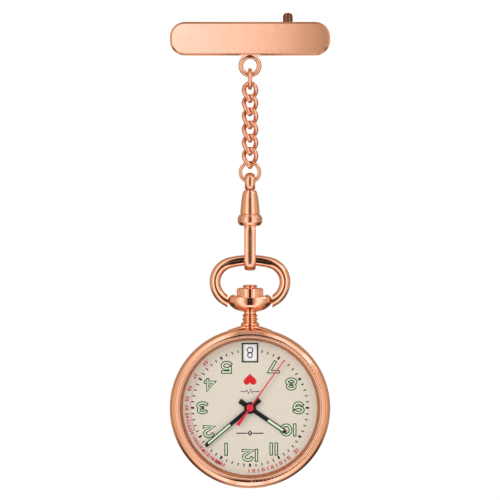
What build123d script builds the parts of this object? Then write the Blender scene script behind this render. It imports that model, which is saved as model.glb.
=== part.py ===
"""Fob watch: a brooch bar, a curb chain, a swivel clasp and a pendant quartz watch with a date.

The watch hangs with its dial facing -Y, +Z up and +X to the right of the wearer's viewer.
Every piece is drawn about the dial's centre and moved at the end, so that the origin of the
finished part lies on the axis of the brooch pin, above the middle of the watch.
Lengths are in millimetres, angles in degrees.
"""
import os
from math import atan2, copysign, cos, degrees, pi, radians, sin, tan

from build123d import *

# ---- driving dimensions -------------------------------------------------------------------
CASE_R = 15.5            # bezel's outer radius: a 31 mm case
BAR_LENGTH = 31.0
BAR_HEIGHT = 6.5
BAR_THICK = 1.2
BAR_Z = 71.4             # height of the bar's centre above the dial's centre
PIN_Y = 2.3              # the brooch pin's axis
PIN_Z = 72.6
PIN_R = 0.45
HANG = 0.03              # play where one ring or link hangs in another
RUN = 0.03               # radial play of a pivot
FIT = 0.01               # play of a filling in its window

# brooch
BAR_CORNER_R = 2.9
BAR_BEVEL = 0.4
LOOP_Z = 66.18
LOOP_R = 1.78
LOOP_WIRE_R = 0.47
LOOP_NECK = 3.6          # width of the loop's flared neck where it meets the bar
HINGE_X = -9.5
CATCH_X = 7.35
CATCH_TOP = 76.55
CATCH_TAB_FOOT = 74.15

# chain
RING_WIRE_R = 0.42
TOP_RING_R = 1.715
LINK_WIRE_R = 0.44
LINK_HALF_WIDTH = 1.22
LINK_PITCH = 2.55
LINK_HALF_HEIGHT = (LINK_PITCH + HANG) / 2 + LINK_WIRE_R
LINK_SQUARENESS = 2.4
LINK_TWIST = 60.0
LINK_TURN = 25.0         # each link stands turned about the chain's line
LINK_CORNERS = 16
LINK_COUNT = 6
LOWER_WIRE_R = 0.36
LOWER_RING_R = 1.84

# swivel clasp
EYE_R = 1.15
EYE_RADIAL = 0.70
EYE_AXIAL = 1.015
SHANK_R = 0.6
BODY_TOP = 42.06
BODY_DISH = 41.76        # bottom of the dish in which the eye turns
HOOK_HALF_WIDTH = 1.11
HOOK_HALF_THICK = 0.48
HOOK_SPREAD = 1.98
HOOK_BOTTOM = 26.92
GATE_PIVOT = (1.45, 36.2)
GATE_PIN_R = 0.25

# bow and pendant
BOW_TUBE_R = 1.06
BOW_TOP = 28.525
BOW_ARCS = ((16.0, 14.0), (3.83, 86.0), (4.15, 58.0))   # radius and angle, from the top down
BOW_PIVOT_Z = 20.6
BOW_END_X = 4.34
BOW_STUB_R = 0.5
COLLAR_HALF_WIDTH = 4.40
COLLAR_DEPTH_RATIO = 0.70
POCKET_R = 2.72
POCKET_Z = 21.05
TUBE_R = 1.6
TUBE_TOP = 22.45
STEM_R = 0.45
STEM_BORE_R = 0.55
CROWN_R = 2.6
CROWN_BOTTOM = 21.12
CROWN_TOP = 23.2
CROWN_HOLLOW_R = 1.95
CROWN_FLUTES = 22

# case, from the front (negative y) to the back
BEZEL_FRONT = -3.58
GLASS_FRONT = -3.32
GLASS_BACK = -2.35
GLASS_R = 13.58
DIAL_FRONT = -1.2
DIAL_BACK = -0.85
DIAL_R = 13.6
BAND_FRONT = -1.0
BAND_BACK = 2.2
BAND_INNER_R = 14.3
BACK_Y = 3.5

# date window, upside down on the dial as on every fob watch
WINDOW_Z = 10.66
WINDOW_SIZE = (2.6, 3.2)
WINDOW_FRAME = 0.17

# hands: level, length, tail and direction (clockwise from the top, seen from the front)
HOUR_LEVEL = (-1.52, -1.38)
MINUTE_LEVEL = (-1.80, -1.66)
SECOND_LEVEL = (-2.08, -1.94)
HOUR_ANGLE = 124.3
MINUTE_ANGLE = 229.7
SECOND_ANGLE = 35.6
HAND_HUB_R = 1.14
HOUR_WINDOW = (4.2, 7.75, 0.235)       # inner end, outer end and half width of the lume
MINUTE_WINDOW = (5.0, 10.6, 0.185)

# movement levels
PLATE_FRONT = -0.55
PLATE_BACK = 0.65
PLATE_R = 12.8
RECESS_R = 8.2
RECESS_Y = -0.25
LEVEL_DATE = (-0.71, -0.62)
LEVEL_HOUR = (-0.60, -0.46)
LEVEL_CANNON = (-0.42, -0.28)
LEVEL_B = (0.68, 0.80)
LEVEL_A = (0.86, 0.98)
LEVEL_C = (1.04, 1.16)
LEVEL_D = (1.22, 1.34)
BRIDGE = (1.42, 1.62)
ARBOR_R = 0.12
ARBOR_TOP = 1.60
ARBOR_FOOT = 0.30

# movement: where each arbor stands (x, z)
CENTRE = (0.0, 0.0)
THIRD = (-3.45, -1.256)
INTERMEDIATE = (-1.736, 2.068)
ROTOR = (-3.92, 3.33)
MINUTE = (1.3, 2.252)
SETTING = (0.82, 5.2)
DATE_DRIVE = (-4.51, -1.64)
PILLARS = ((-7.6, 0.6), (2.9, 4.4), (0.9, -4.6))
BATTERY = (7.7, -2.8)
BATTERY_R = 3.95
CLAMP_FOOT = (4.9, 1.0)
COIL = (-6.08, 6.08)
COIL_ANGLE = 45.0
COIL_Y = 0.95
COIL_R = 0.85
COIL_LENGTH = 6.0
CORE_LENGTH = 9.2
LEVER = (2.5, 9.25)
LEVER_LEVEL = (0.67, 0.85)

# tooth counts and modules of the train
ROTOR_TEETH = 6
INTERMEDIATE_TEETH = 36
INTERMEDIATE_PINION = 6
SECONDS_TEETH = 30
SECONDS_PINION = 8
THIRD_TEETH = 60
THIRD_PINION = 8
CENTRE_TEETH = 64
CANNON_TEETH = 10
MINUTE_TEETH = 30
MINUTE_PINION = 8
HOUR_TEETH = 32
HOUR_PINION = 20
DATE_TEETH = 40
SETTING_TEETH = 16
MODULE_ROTOR = 0.12
MODULE_SECONDS = 0.15
MODULE_THIRD = 0.108
MODULE_CENTRE = 0.102
MODULE_MOTION = 0.13
MODULE_DATE = 0.16
DATE_RING_TEETH = 31

TO_PIN = Pos(0, -PIN_Y, -PIN_Z)


# ---- shared shapes ------------------------------------------------------------------------
def outline(points, rounding=0.0):
    """Closed face in a plane. A point's third value is the radius of its own corner."""
    corners = [Vector(point[0], point[1]) for point in points]
    radii = [point[2] if len(point) > 2 else rounding for point in points]
    if max(radii) > 0:
        return make_face(FilletPolyline(*corners, radius=radii, close=True))
    return make_face(Polyline(*corners, close=True))


def turned_y(points, rounding=0.0):
    """Solid turned about Y from an outline of (radius, y) points."""
    return revolve(outline(points, rounding), Axis.Y)


def turned_z(points, rounding=0.0):
    """Solid turned about Z from an outline of (radius, z) points."""
    return revolve(Plane.XZ * outline(points, rounding), Axis.Z)


def plate(face, low, high):
    """Extrude a face drawn as (x, z) from y = low to y = high."""
    return extrude(Plane.XZ.offset(-high) * face, high - low)


def disc(centre, radius, low, high):
    """Round plate or post along Y at (x, z) = centre."""
    return plate(Pos(centre[0], centre[1]) * Circle(radius), low, high)


def rod_x(radius, x_low, x_high, y, z):
    """Round bar along X."""
    middle = (x_low + x_high) / 2
    return Pos(middle, y, z) * Rot(0, 90, 0) * Cylinder(radius, x_high - x_low)


def rod_z(radius, z_low, z_high, x=0.0, y=0.0):
    """Round bar along Z."""
    return Pos(x, y, (z_low + z_high) / 2) * Cylinder(radius, z_high - z_low)


def block(x_range, y_range, z_range):
    """Box between two limits on each axis."""
    low = Vector(x_range[0], y_range[0], z_range[0])
    high = Vector(x_range[1], y_range[1], z_range[1])
    size = high - low
    middle = (low + high) * 0.5
    return Pos(middle) * Box(size.X, size.Y, size.Z)


def ring_of_wire(radius, wire_radius, z, axis):
    """Round ring of round wire whose centre is at height z; axis is the ring's own axis."""
    turn = Rot(0, 90, 0) if axis == "x" else Rot(90, 0, 0)
    return Pos(0, 0, z) * turn * Torus(radius, wire_radius)


def polar(radius, angle):
    """Point (x, z) at an angle in degrees from +X."""
    return (radius * cos(radians(angle)), radius * sin(radians(angle)))


def direction(start, end):
    """Angle in radians of the line from one arbor to the next."""
    return atan2(end[1] - start[1], end[0] - start[0])


def meshing_phase(phase, teeth, heading, mate_teeth):
    """Angle of a tooth of the mate, for a gear with a tooth at the angle given as phase."""
    offset = (heading - phase) * teeth / (2 * pi)
    return heading + pi - (0.5 - offset) * 2 * pi / mate_teeth


def gear_face(centre, teeth, module, phase=0.0, hole=0.0):
    """Spur gear outline with straight-sided teeth and one tooth at the angle phase."""
    pitch_radius = teeth * module / 2
    tip_radius = pitch_radius + 0.9 * module
    root_radius = pitch_radius - 1.1 * module
    step = 2 * pi / teeth
    corners = []
    for index in range(teeth):
        middle = phase + index * step
        for radius, share in ((root_radius, -0.31), (tip_radius, -0.12),
                              (tip_radius, 0.12), (root_radius, 0.31)):
            angle = middle + share * step
            corners.append((centre[0] + radius * cos(angle), centre[1] + radius * sin(angle)))
    face = outline(corners)
    if hole > 0:
        face -= Pos(centre[0], centre[1]) * Circle(hole)
    return face


def gear(centre, teeth, module, level, phase=0.0, hole=0.0):
    """Spur gear between two levels of y."""
    return plate(gear_face(centre, teeth, module, phase, hole), level[0], level[1])


def tube_along(path, section):
    """Sweep a section along each run of a wire and join the runs."""
    runs = []
    for run in path.edges():
        start = Plane(origin=run @ 0, z_dir=run % 0)
        runs.append(sweep(start * section, path=Wire([run])))
    return runs[0].fuse(*runs[1:])


# ---- brooch -------------------------------------------------------------------------------
def make_brooch_bar():
    face = RectangleRounded(BAR_LENGTH, BAR_HEIGHT, BAR_CORNER_R)
    bar = plate(Pos(0, BAR_Z) * face, -BAR_THICK / 2, BAR_THICK / 2)
    front = bar.faces().sort_by(Axis.Y)[0]
    bar = chamfer(front.edges(), BAR_BEVEL)
    back = bar.faces().sort_by(Axis.Y)[-1]
    bar = fillet(back.edges(), 0.15)
    loop = ring_of_wire(LOOP_R, LOOP_WIRE_R, LOOP_Z, "y")
    bar_foot = BAR_Z - BAR_HEIGHT / 2
    waist = LOOP_NECK / 2 - 0.5
    neck = outline(((-LOOP_NECK / 2, bar_foot + 0.25), (LOOP_NECK / 2, bar_foot + 0.25),
                    (LOOP_NECK / 2, bar_foot - 0.02), (waist, bar_foot - 0.7),
                    (-waist, bar_foot - 0.7), (-LOOP_NECK / 2, bar_foot - 0.02)))
    neck = plate(neck, -0.38, 0.38) - disc((0, LOOP_Z), LOOP_R, -2, 2)
    return bar + loop + neck


def make_pin_bracket():
    base = block((-11.6, -8.2), (BAR_THICK / 2, 0.85), (PIN_Z - 1.4, PIN_Z + 1.4))
    base = fillet(base.edges().filter_by(Axis.Y), 0.4)
    ears = None
    for side in (-1, 1):
        low, high = sorted((side * 0.62, side * 0.98))
        ear = block((HINGE_X - 0.85, HINGE_X + 0.85), (0.8, PIN_Y), (PIN_Z + low, PIN_Z + high))
        ear += rod_z(0.85, PIN_Z + low, PIN_Z + high, HINGE_X, PIN_Y)
        ears = ear if ears is None else ears + ear
    bore = rod_z(0.36, PIN_Z - 2, PIN_Z + 2, HINGE_X, PIN_Y)
    return base + ears - bore


def make_pin_rivet():
    rivet = rod_z(0.34, PIN_Z - 1.0, PIN_Z + 1.0, HINGE_X, PIN_Y)
    for side in (-1, 1):
        low, high = sorted((side * 0.98, side * 1.2))
        head = rod_z(0.6, PIN_Z + low, PIN_Z + high, HINGE_X, PIN_Y)
        outer = head.faces().sort_by(Axis.Z)[-1 if side > 0 else 0]
        rivet += fillet(outer.edges(), 0.12)
    return rivet


def make_brooch_pin():
    eye = rod_z(0.95, PIN_Z - 0.58, PIN_Z + 0.58, HINGE_X, PIN_Y)
    points = ((0, HINGE_X + 0.7), (PIN_R, HINGE_X + 0.7), (PIN_R, 5.3), (0.32, 6.0),
              (0.32, 9.0), (0.05, 11.4), (0, 11.4))
    profile = Plane.XY * outline([(x, radius) for radius, x in points])
    shank = Pos(0, PIN_Y, PIN_Z) * revolve(profile, Axis.X)
    return eye + shank - rod_z(0.34 + RUN, PIN_Z - 2, PIN_Z + 2, HINGE_X, PIN_Y)


def make_catch_body():
    """Fixed half of the catch: a C-shaped ring on a soldered foot, open to the back."""
    base = block((CATCH_X - 1.6, CATCH_X + 1.6), (BAR_THICK / 2, 0.82), (PIN_Z - 1.4, PIN_Z + 1.4))
    base = fillet(base.edges().filter_by(Axis.Y), 0.4)
    ring = rod_x(1.45, CATCH_X - 0.30, CATCH_X + 0.30, PIN_Y, PIN_Z)
    ring -= rod_x(0.90, CATCH_X - 1, CATCH_X + 1, PIN_Y, PIN_Z)
    foot = block((CATCH_X - 0.30, CATCH_X + 0.30), (0.7, PIN_Y - 0.95), (PIN_Z - 0.8, PIN_Z + 0.8))
    mouth = block((CATCH_X - 1, CATCH_X + 1), (PIN_Y, PIN_Y + 2), (PIN_Z - 0.55, PIN_Z + 0.55))
    return base + (ring + foot - mouth)


def make_catch_lock():
    """Turning half of the catch: a slotted drum with two flanges and a thumb tab."""
    half = 0.94
    inner = 0.36
    drum = rod_x(0.85, CATCH_X - half, CATCH_X + half, PIN_Y, PIN_Z)
    for low, high in ((-half, -inner), (inner, half)):
        drum += rod_x(1.30, CATCH_X + low, CATCH_X + high, PIN_Y, PIN_Z)
        drum += block((CATCH_X + low, CATCH_X + high), (PIN_Y - 0.45, PIN_Y + 0.45),
                      (PIN_Z + 0.9, CATCH_TAB_FOOT + 0.3))
    tab = outline(((CATCH_X - half, CATCH_TAB_FOOT), (CATCH_X + half, CATCH_TAB_FOOT),
                   (CATCH_X + half, CATCH_TOP, 0.75), (CATCH_X - half, CATCH_TOP, 0.75)))
    tab = plate(tab, PIN_Y - 0.45, PIN_Y + 0.45)
    for side in (-1, 1):
        for face_y in (PIN_Y - 0.45, PIN_Y + 0.45):
            tab -= rod_z(0.1, CATCH_TAB_FOOT, CATCH_TOP + 1, CATCH_X + side * 0.33, face_y)
    bore = rod_x(0.42, CATCH_X - 1, CATCH_X + 1, PIN_Y, PIN_Z)
    slot = block((CATCH_X - 1, CATCH_X + 1), (PIN_Y, PIN_Y + 2), (PIN_Z - 0.40, PIN_Z + 0.40))
    return drum + tab - bore - slot


# ---- chain --------------------------------------------------------------------------------
TOP_RING_Z = LOOP_Z - LOOP_R + LOOP_WIRE_R + RING_WIRE_R + HANG - TOP_RING_R
LINK_Z = TOP_RING_Z - TOP_RING_R + RING_WIRE_R + LINK_WIRE_R + HANG - LINK_HALF_HEIGHT
LAST_LINK_Z = LINK_Z - (LINK_COUNT - 1) * LINK_PITCH
LOWER_RING_Z = LAST_LINK_Z - LINK_HALF_HEIGHT + LINK_WIRE_R + LOWER_WIRE_R + HANG - LOWER_RING_R
EYE_Z = LOWER_RING_Z - LOWER_RING_R + LOWER_WIRE_R + HANG + EYE_RADIAL - EYE_R


def make_chain_link():
    """Curb link: a squarish loop of round wire, twisted about the chain's line."""
    corners = []
    for index in range(LINK_CORNERS):
        angle = 2 * pi * (index + 0.5) / LINK_CORNERS
        power = 2 / LINK_SQUARENESS
        across = LINK_HALF_WIDTH * 1.012 * copysign(abs(cos(angle)) ** power, cos(angle))
        height = LINK_HALF_HEIGHT * 1.012 * copysign(abs(sin(angle)) ** power, sin(angle))
        twist = radians(-LINK_TWIST * height / LINK_HALF_HEIGHT)
        corners.append(Vector(across * cos(twist), across * sin(twist), height))
    radii = []
    for index, corner in enumerate(corners):
        arriving = corner - corners[index - 1]
        leaving = corners[(index + 1) % LINK_CORNERS] - corner
        half_turn = radians(arriving.get_angle(leaving)) / 2
        shorter = min(arriving.length, leaving.length)
        radii.append(0.45 * shorter / tan(half_turn))
    path = FilletPolyline(*corners, radius=radii, close=True)
    return Rot(0, 0, LINK_TURN) * tube_along(path, Circle(LINK_WIRE_R))


# ---- swivel clasp -------------------------------------------------------------------------
def make_swivel_eye():
    section = Pos(0, EYE_R) * Ellipse(EYE_AXIAL, EYE_RADIAL)
    eye = Pos(0, 0, EYE_Z) * revolve(section, Axis.X)
    shank = rod_z(SHANK_R, 39.5, EYE_Z - EYE_R)
    head = rod_z(0.95, 39.45, 40.3)
    head = fillet(head.edges(), 0.15)
    return eye + shank + head


def make_swivel_body():
    shell = ((0, 35.1), (1.55, 35.1), (2.05, 35.3, 0.3), (2.48, 35.95, 0.45), (2.36, 36.25, 0.04),
             (2.48, 36.55, 0.45), (2.1, 37.3, 0.3), (1.84, 37.42, 0.06), (1.90, 37.75, 0.2),
             (1.64, 40.4, 6.0), (1.42, 41.55, 1.5), (1.16, BODY_TOP, 0.08), (1.04, BODY_TOP, 0.02),
             (0.6, BODY_DISH, 0.1), (0, BODY_DISH))
    body = turned_z(shell)
    body -= rod_z(SHANK_R + 2 * RUN, 40.0, BODY_TOP + 1)
    body -= rod_z(1.05, 39.3, 40.42)
    spine = FilletPolyline((0, -1.2, 35.6), (0, -HOOK_SPREAD, 34.3), (0, -HOOK_SPREAD, HOOK_BOTTOM),
                           (0, HOOK_SPREAD, HOOK_BOTTOM), (0, HOOK_SPREAD - 0.06, 30.3),
                           radius=[1.4, HOOK_SPREAD - 0.02, HOOK_SPREAD - 0.04])
    hook = tube_along(spine, Rot(0, 0, hook_section_turn(spine)) * hook_section())
    nose = hook.faces().filter_by(GeomType.PLANE).sort_by(Axis.Y)[-1]
    hook = fillet(nose.edges(), 0.12)
    notch = outline(((-0.34, 35.2), (0.34, 35.2), (0.0, 34.15)))
    hook -= plate(notch, -HOOK_SPREAD - 1.0, -HOOK_SPREAD - 0.14)
    body += hook
    body -= block((-0.95, 0.95), (0.75, 2.7), (34.5, 36.95))
    body -= block((-0.95, 0.95), (-0.4, 2.7), (34.5, 35.62))
    body -= rod_x(GATE_PIN_R, -1.75, 1.75, GATE_PIVOT[0], GATE_PIVOT[1])
    return body


def hook_section():
    """Flattened wire: wide across X, thin across the bend."""
    return Ellipse(HOOK_HALF_WIDTH, HOOK_HALF_THICK)


def hook_section_turn(path):
    """Turn that lays the section's wide side along X at the start of the hook."""
    start = Plane(origin=path @ 0, z_dir=path % 0)
    across = start.to_local_coords(Vector(1, 0, 0) + start.origin)
    return degrees(atan2(across.Y, across.X))


def make_swivel_gate():
    knuckle = rod_x(0.6, -0.85, 0.85, GATE_PIVOT[0], GATE_PIVOT[1])
    blade = outline(((1.15, 35.9), (1.66, 34.6, 1.0), (1.66, 30.62, 0.1), (2.22, 30.62, 0.25),
                     (2.24, 34.9, 1.0), (2.04, 36.2)))
    gate = extrude(Plane.YZ.offset(-0.8) * blade, 1.6)
    return knuckle + gate - rod_x(GATE_PIN_R + RUN, -1, 1, GATE_PIVOT[0], GATE_PIVOT[1])


def make_gate_pin():
    return rod_x(GATE_PIN_R, -1.7, 1.7, GATE_PIVOT[0], GATE_PIVOT[1])


def make_gate_spring():
    leaf = outline(((0.76, 36.9), (0.76, 35.6), (1.52, 34.72), (1.6, 34.80), (0.84, 35.66), (0.84, 36.9)))
    return extrude(Plane.YZ.offset(-0.35) * leaf, 0.7)


# ---- bow, pendant and crown ---------------------------------------------------------------
def make_bow():
    """Open oval of round bar, made of three arcs a side, with a pivot stub at each end."""
    half = None
    place = Vector(0, BOW_TOP)
    heading = Vector(1, 0)
    for radius, angle in BOW_ARCS:
        arc = JernArc(place, heading, radius, -angle)
        half = arc if half is None else half + arc
        place = arc @ 1
        heading = arc % 1
    side = None
    for edge in (Plane.XZ * half).edges():
        start = Plane(origin=edge @ 0, z_dir=edge % 0)
        run = sweep(start * Circle(BOW_TUBE_R), path=Wire([edge]))
        side = run if side is None else side + run
    side -= block((-1, BOW_END_X), (-3, 3), (15, 23))
    stub = rod_x(BOW_STUB_R, 3.45, BOW_END_X + 0.5, 0, BOW_PIVOT_Z)
    side += stub
    return side + mirror(side, Plane.YZ)


def case_envelope():
    """Solid outer shape of band and bezel together."""
    return turned_y(((0, BAND_BACK), (15.2, BAND_BACK), (15.42, 1.4, 0.4), (15.42, -0.3, 0.4),
                     (15.25, BAND_FRONT), (CASE_R, -1.3), (CASE_R, -2.0, 0.6),
                     (15.05, -3.0, 0.6), (0, -3.0)))


def make_pendant():
    """Neck, collar and the tube that the crown covers."""
    neck = turned_z(((0, 15.3), (1.50, 15.3), (1.50, 15.68, 0.1), (1.83, 15.95, 0.18), (1.83, 16.25, 0.18),
                     (1.35, 16.66, 0.12), (1.30, 16.82, 0.1), (1.63, 17.1, 0.08), (1.30, 17.38, 0.1),
                     (1.28, 17.56, 0.1), (1.56, 17.84, 0.08), (1.19, 18.12, 0.15), (1.19, 19.2), (0, 19.2)))
    cup = turned_z(((0, 18.55), (1.6, 18.55, 1.2), (2.9, 18.95, 2.6), (3.95, 19.75, 1.9),
                    (COLLAR_HALF_WIDTH, 20.7, 1.1), (3.95, 21.6, 0.9), (3.25, 22.0, 0.5), (0, 22.0)))
    cup = scale(cup, by=(1, COLLAR_DEPTH_RATIO, 1))
    saddle_r = 7.6
    cup -= Pos(0, 0, 21.15 + saddle_r) * Rot(90, 0, 0) * Cylinder(saddle_r, 12)
    cup -= rod_z(POCKET_R, POCKET_Z, 23)
    sections = []
    for height, wide, deep in ((14.9, 4.5, 1.35), (15.45, 3.0, 1.3), (15.9, 1.45, 1.25)):
        sections.append(Pos(0, 0, height) * Ellipse(wide, deep))
    flare = loft(sections) - case_envelope()
    spigot = rod_z(0.85, 14.4, 15.6)
    tube = rod_z(TUBE_R, 20.0, TUBE_TOP)
    pendant = (neck - case_envelope()) + cup + flare + spigot + tube
    pendant -= rod_z(STEM_BORE_R, 14, 23)
    for side in (-1, 1):
        low, high = sorted((side * 3.35, side * 5))
        pendant -= rod_x(BOW_STUB_R + 2 * RUN, low, high, 0, BOW_PIVOT_Z)
    return pendant


def make_crown():
    """Fluted crown with a raised button on top, hollow below to cover the tube and its seal."""
    rim = Circle(CROWN_R)
    for index in range(CROWN_FLUTES):
        across = polar(CROWN_R + 0.10, 360 * index / CROWN_FLUTES)
        rim -= Pos(across[0], across[1]) * Circle(0.2)
    crown = Pos(0, 0, CROWN_BOTTOM) * extrude(rim, CROWN_TOP - CROWN_BOTTOM)
    bounds = turned_z(((0, CROWN_BOTTOM), (CROWN_R - 0.15, CROWN_BOTTOM),
                       (CROWN_R + 0.02, CROWN_BOTTOM + 0.2), (CROWN_R + 0.02, CROWN_TOP - 0.25, 0.1),
                       (CROWN_R - 0.35, CROWN_TOP), (0, CROWN_TOP)))
    crown = crown & bounds
    button = turned_z(((0, CROWN_TOP - 0.1), (1.36, CROWN_TOP - 0.1), (1.30, 23.36, 0.1), (1.50, 23.52, 0.1),
                       (1.30, 23.74, 0.15), (0.6, 23.82, 2.0), (0, 23.82)))
    crown += button
    crown -= rod_z(CROWN_HOLLOW_R, 20, 22.6)
    return crown - rod_z(STEM_R, 22, 22.9)


def make_crown_gasket():
    return turned_z(((TUBE_R + 0.01, 21.2), (CROWN_HOLLOW_R - 0.01, 21.2),
                     (CROWN_HOLLOW_R - 0.01, 21.5), (TUBE_R + 0.01, 21.5)), 0.1)


def make_setting_stem():
    """Stem with a square end for the sliding pinion and a groove for the setting lever."""
    square = block((-0.25, 0.25), (-0.25, 0.25), (5.9, 8.4))
    stem = square + rod_z(STEM_R, 8.3, 22.9)
    groove = rod_z(1.0, 9.0, 9.5) - rod_z(0.22, 8.9, 9.6)
    return stem - groove


# ---- case ---------------------------------------------------------------------------------
def make_case_band():
    band = turned_y(((BAND_INNER_R, BAND_BACK), (15.2, BAND_BACK, 0.08), (15.42, 1.4, 0.4),
                     (15.42, -0.3, 0.4), (15.2, BAND_FRONT), (14.65, BAND_FRONT), (14.65, -0.25),
                     (BAND_INNER_R, -0.25)))
    band -= turned_y(((14.55, 2.0), (14.85, 2.0), (14.85, 3), (14.55, 3)))
    return band - rod_z(0.87, 13, 16)


def make_bezel():
    bezel = turned_y(((13.0, -1.25), (13.6, -2.33), (13.8, -2.33), (13.8, -3.40, 0.06),
                     (14.15, BEZEL_FRONT, 0.30), (15.05, -3.05, 0.7), (CASE_R, -2.05, 0.7),
                     (CASE_R, -1.28, 0.2), (15.2, BAND_FRONT), (14.6, BAND_FRONT), (14.6, -0.3),
                     (14.35, -0.3), (14.35, -1.25)))
    return bezel - rod_z(0.87, 13, 15.2)


def make_crystal():
    return turned_y(((0, GLASS_BACK), (GLASS_R, GLASS_BACK), (GLASS_R, -3.12), (13.36, GLASS_FRONT),
                     (0, GLASS_FRONT)))


def make_crystal_gasket():
    return turned_y(((GLASS_R + 0.01, GLASS_BACK), (13.79, GLASS_BACK), (13.79, -3.28, 0.05),
                     (GLASS_R + 0.01, -3.28, 0.05)))


def make_case_back():
    back = turned_y(((0, 2.0), (13.85, 2.0), (13.85, 1.5), (14.25, 1.5), (14.25, BAND_BACK),
                     (15.05, BAND_BACK, 0.05), (15.22, 2.5, 0.2), (14.5, 3.1, 0.6),
                     (12.4, BACK_Y, 0.8), (0, BACK_Y)))
    return back - block((-1.2, 1.2), (2.2, 2.55), (-16, -14.75))


def make_back_gasket():
    return turned_y(((14.56, 2.01), (14.84, 2.01), (14.84, 2.19), (14.56, 2.19)))


def make_movement_ring():
    ring = turned_y(((12.85, -0.83), (14.2, -0.83), (14.2, 1.45), (12.85, 1.45)))
    return ring - rod_z(0.6, 12, 15)


def make_dial():
    dial = disc(CENTRE, DIAL_R, DIAL_FRONT, DIAL_BACK)
    wide = WINDOW_SIZE[0] + 2 * WINDOW_FRAME
    tall = WINDOW_SIZE[1] + 2 * WINDOW_FRAME
    dial += plate(Pos(0, WINDOW_Z) * Rectangle(wide, tall), DIAL_FRONT - 0.05, DIAL_BACK)
    dial -= plate(Pos(0, WINDOW_Z) * Rectangle(*WINDOW_SIZE), -2, 0)
    return dial - disc(CENTRE, 0.75, -2, 0)


# ---- hands --------------------------------------------------------------------------------
def lume_window(window, play=0.0):
    """Oblong opening of a hand, pointing up: inner end, outer end and half width."""
    inner, outer, half_width = window
    side = half_width - play
    return outline(((-side, inner + play), (side, inner + play), (side, outer - play),
                    (-side, outer - play)))


def baton(length, half_width, tail, tail_half):
    """Hand outline, pointing up, with a straight tail and a blunt tip."""
    shoulder = length - 0.35
    tip_half = 0.62 * half_width
    return outline(((-tail_half, -tail), (tail_half, -tail), (half_width, 1.6), (half_width, shoulder),
                    (tip_half, length), (-tip_half, length), (-half_width, shoulder),
                    (-half_width, 1.6)))


def make_hour_hand():
    hand = plate(baton(8.4, 0.42, 2.43, 0.50), *HOUR_LEVEL)
    hand += disc(CENTRE, 1.0, *HOUR_LEVEL)
    hand -= plate(lume_window(HOUR_WINDOW), -3, 0)
    return Rot(0, HOUR_ANGLE, 0) * (hand - disc(CENTRE, 0.60, -3, 0))


def make_hour_lume():
    lume = plate(lume_window(HOUR_WINDOW, FIT), HOUR_LEVEL[0] + 0.02, HOUR_LEVEL[1])
    return Rot(0, HOUR_ANGLE, 0) * lume


def make_minute_hand():
    hand = plate(baton(11.25, 0.37, 2.5, 0.48), *MINUTE_LEVEL)
    hand += disc(CENTRE, HAND_HUB_R, *MINUTE_LEVEL)
    hand -= plate(lume_window(MINUTE_WINDOW), -3, 0)
    return Rot(0, MINUTE_ANGLE, 0) * (hand - disc(CENTRE, 0.32, -3, 0))


def make_minute_lume():
    lume = plate(lume_window(MINUTE_WINDOW, FIT), MINUTE_LEVEL[0] + 0.02, MINUTE_LEVEL[1])
    return Rot(0, MINUTE_ANGLE, 0) * lume


def make_second_hand():
    needle = outline(((-0.34, -4.08, 0.05), (0.34, -4.08, 0.05), (0.13, -0.6), (0.14, 3.0), (0.09, 11.3),
                      (-0.09, 11.3), (-0.14, 3.0), (-0.13, -0.6)))
    hand = plate(needle, *SECOND_LEVEL)
    hand += disc(CENTRE, 0.70, SECOND_LEVEL[0] - 0.06, SECOND_LEVEL[1])
    hand += disc(CENTRE, 0.28, SECOND_LEVEL[1], -1.84)
    return Rot(0, SECOND_ANGLE, 0) * (hand - disc(CENTRE, ARBOR_R, SECOND_LEVEL[0], 0))


# ---- date ---------------------------------------------------------------------------------
JUMPER_ANGLE = 115.0


def make_date_ring():
    """Flat ring with inward teeth; a gap between two teeth faces the jumper."""
    step = 360 / DATE_RING_TEETH
    corners = []
    for index in range(DATE_RING_TEETH):
        middle = JUMPER_ANGLE + (index + 0.5) * step
        for radius, share in ((8.85, -0.30), (8.4, -0.12), (8.4, 0.12), (8.85, 0.30)):
            corners.append(polar(radius, middle + share * step))
    return plate(Circle(12.5) - outline(corners), -0.80, -0.62)


def make_date_jumper():
    """Springy arm whose nose rests between two teeth of the date ring."""
    foot = polar(7.2, 150)
    knee = polar(7.75, JUMPER_ANGLE + 4)
    nose = polar(8.68, JUMPER_ANGLE)
    heel = polar(7.75, JUMPER_ANGLE - 3)
    arm = outline((polar(7.0, 148), knee, nose, heel, polar(7.4, JUMPER_ANGLE - 3), polar(6.75, 146)))
    level = (-0.78, -0.66)
    return plate(arm, *level) + disc(foot, 0.55, -0.78, -0.27)


def make_date_wheel():
    heading = direction(CENTRE, DATE_DRIVE)
    phase = meshing_phase(heading, HOUR_PINION, heading, DATE_TEETH)
    wheel = gear(DATE_DRIVE, DATE_TEETH, MODULE_DATE, LEVEL_DATE, phase)
    wheel += disc(DATE_DRIVE, 0.8, -0.80, LEVEL_DATE[1])
    tip = (DATE_DRIVE[0] + 1.3, DATE_DRIVE[1] - 3.6)
    finger = outline(((DATE_DRIVE[0] - 0.5, DATE_DRIVE[1]), (DATE_DRIVE[0] + 0.5, DATE_DRIVE[1]),
                      (tip[0] + 0.2, tip[1] + 0.1), (tip[0] - 0.1, tip[1])))
    wheel += plate(finger, -0.80, -0.73)
    return wheel - disc(DATE_DRIVE, 0.30 + RUN, -2, 0)


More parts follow.
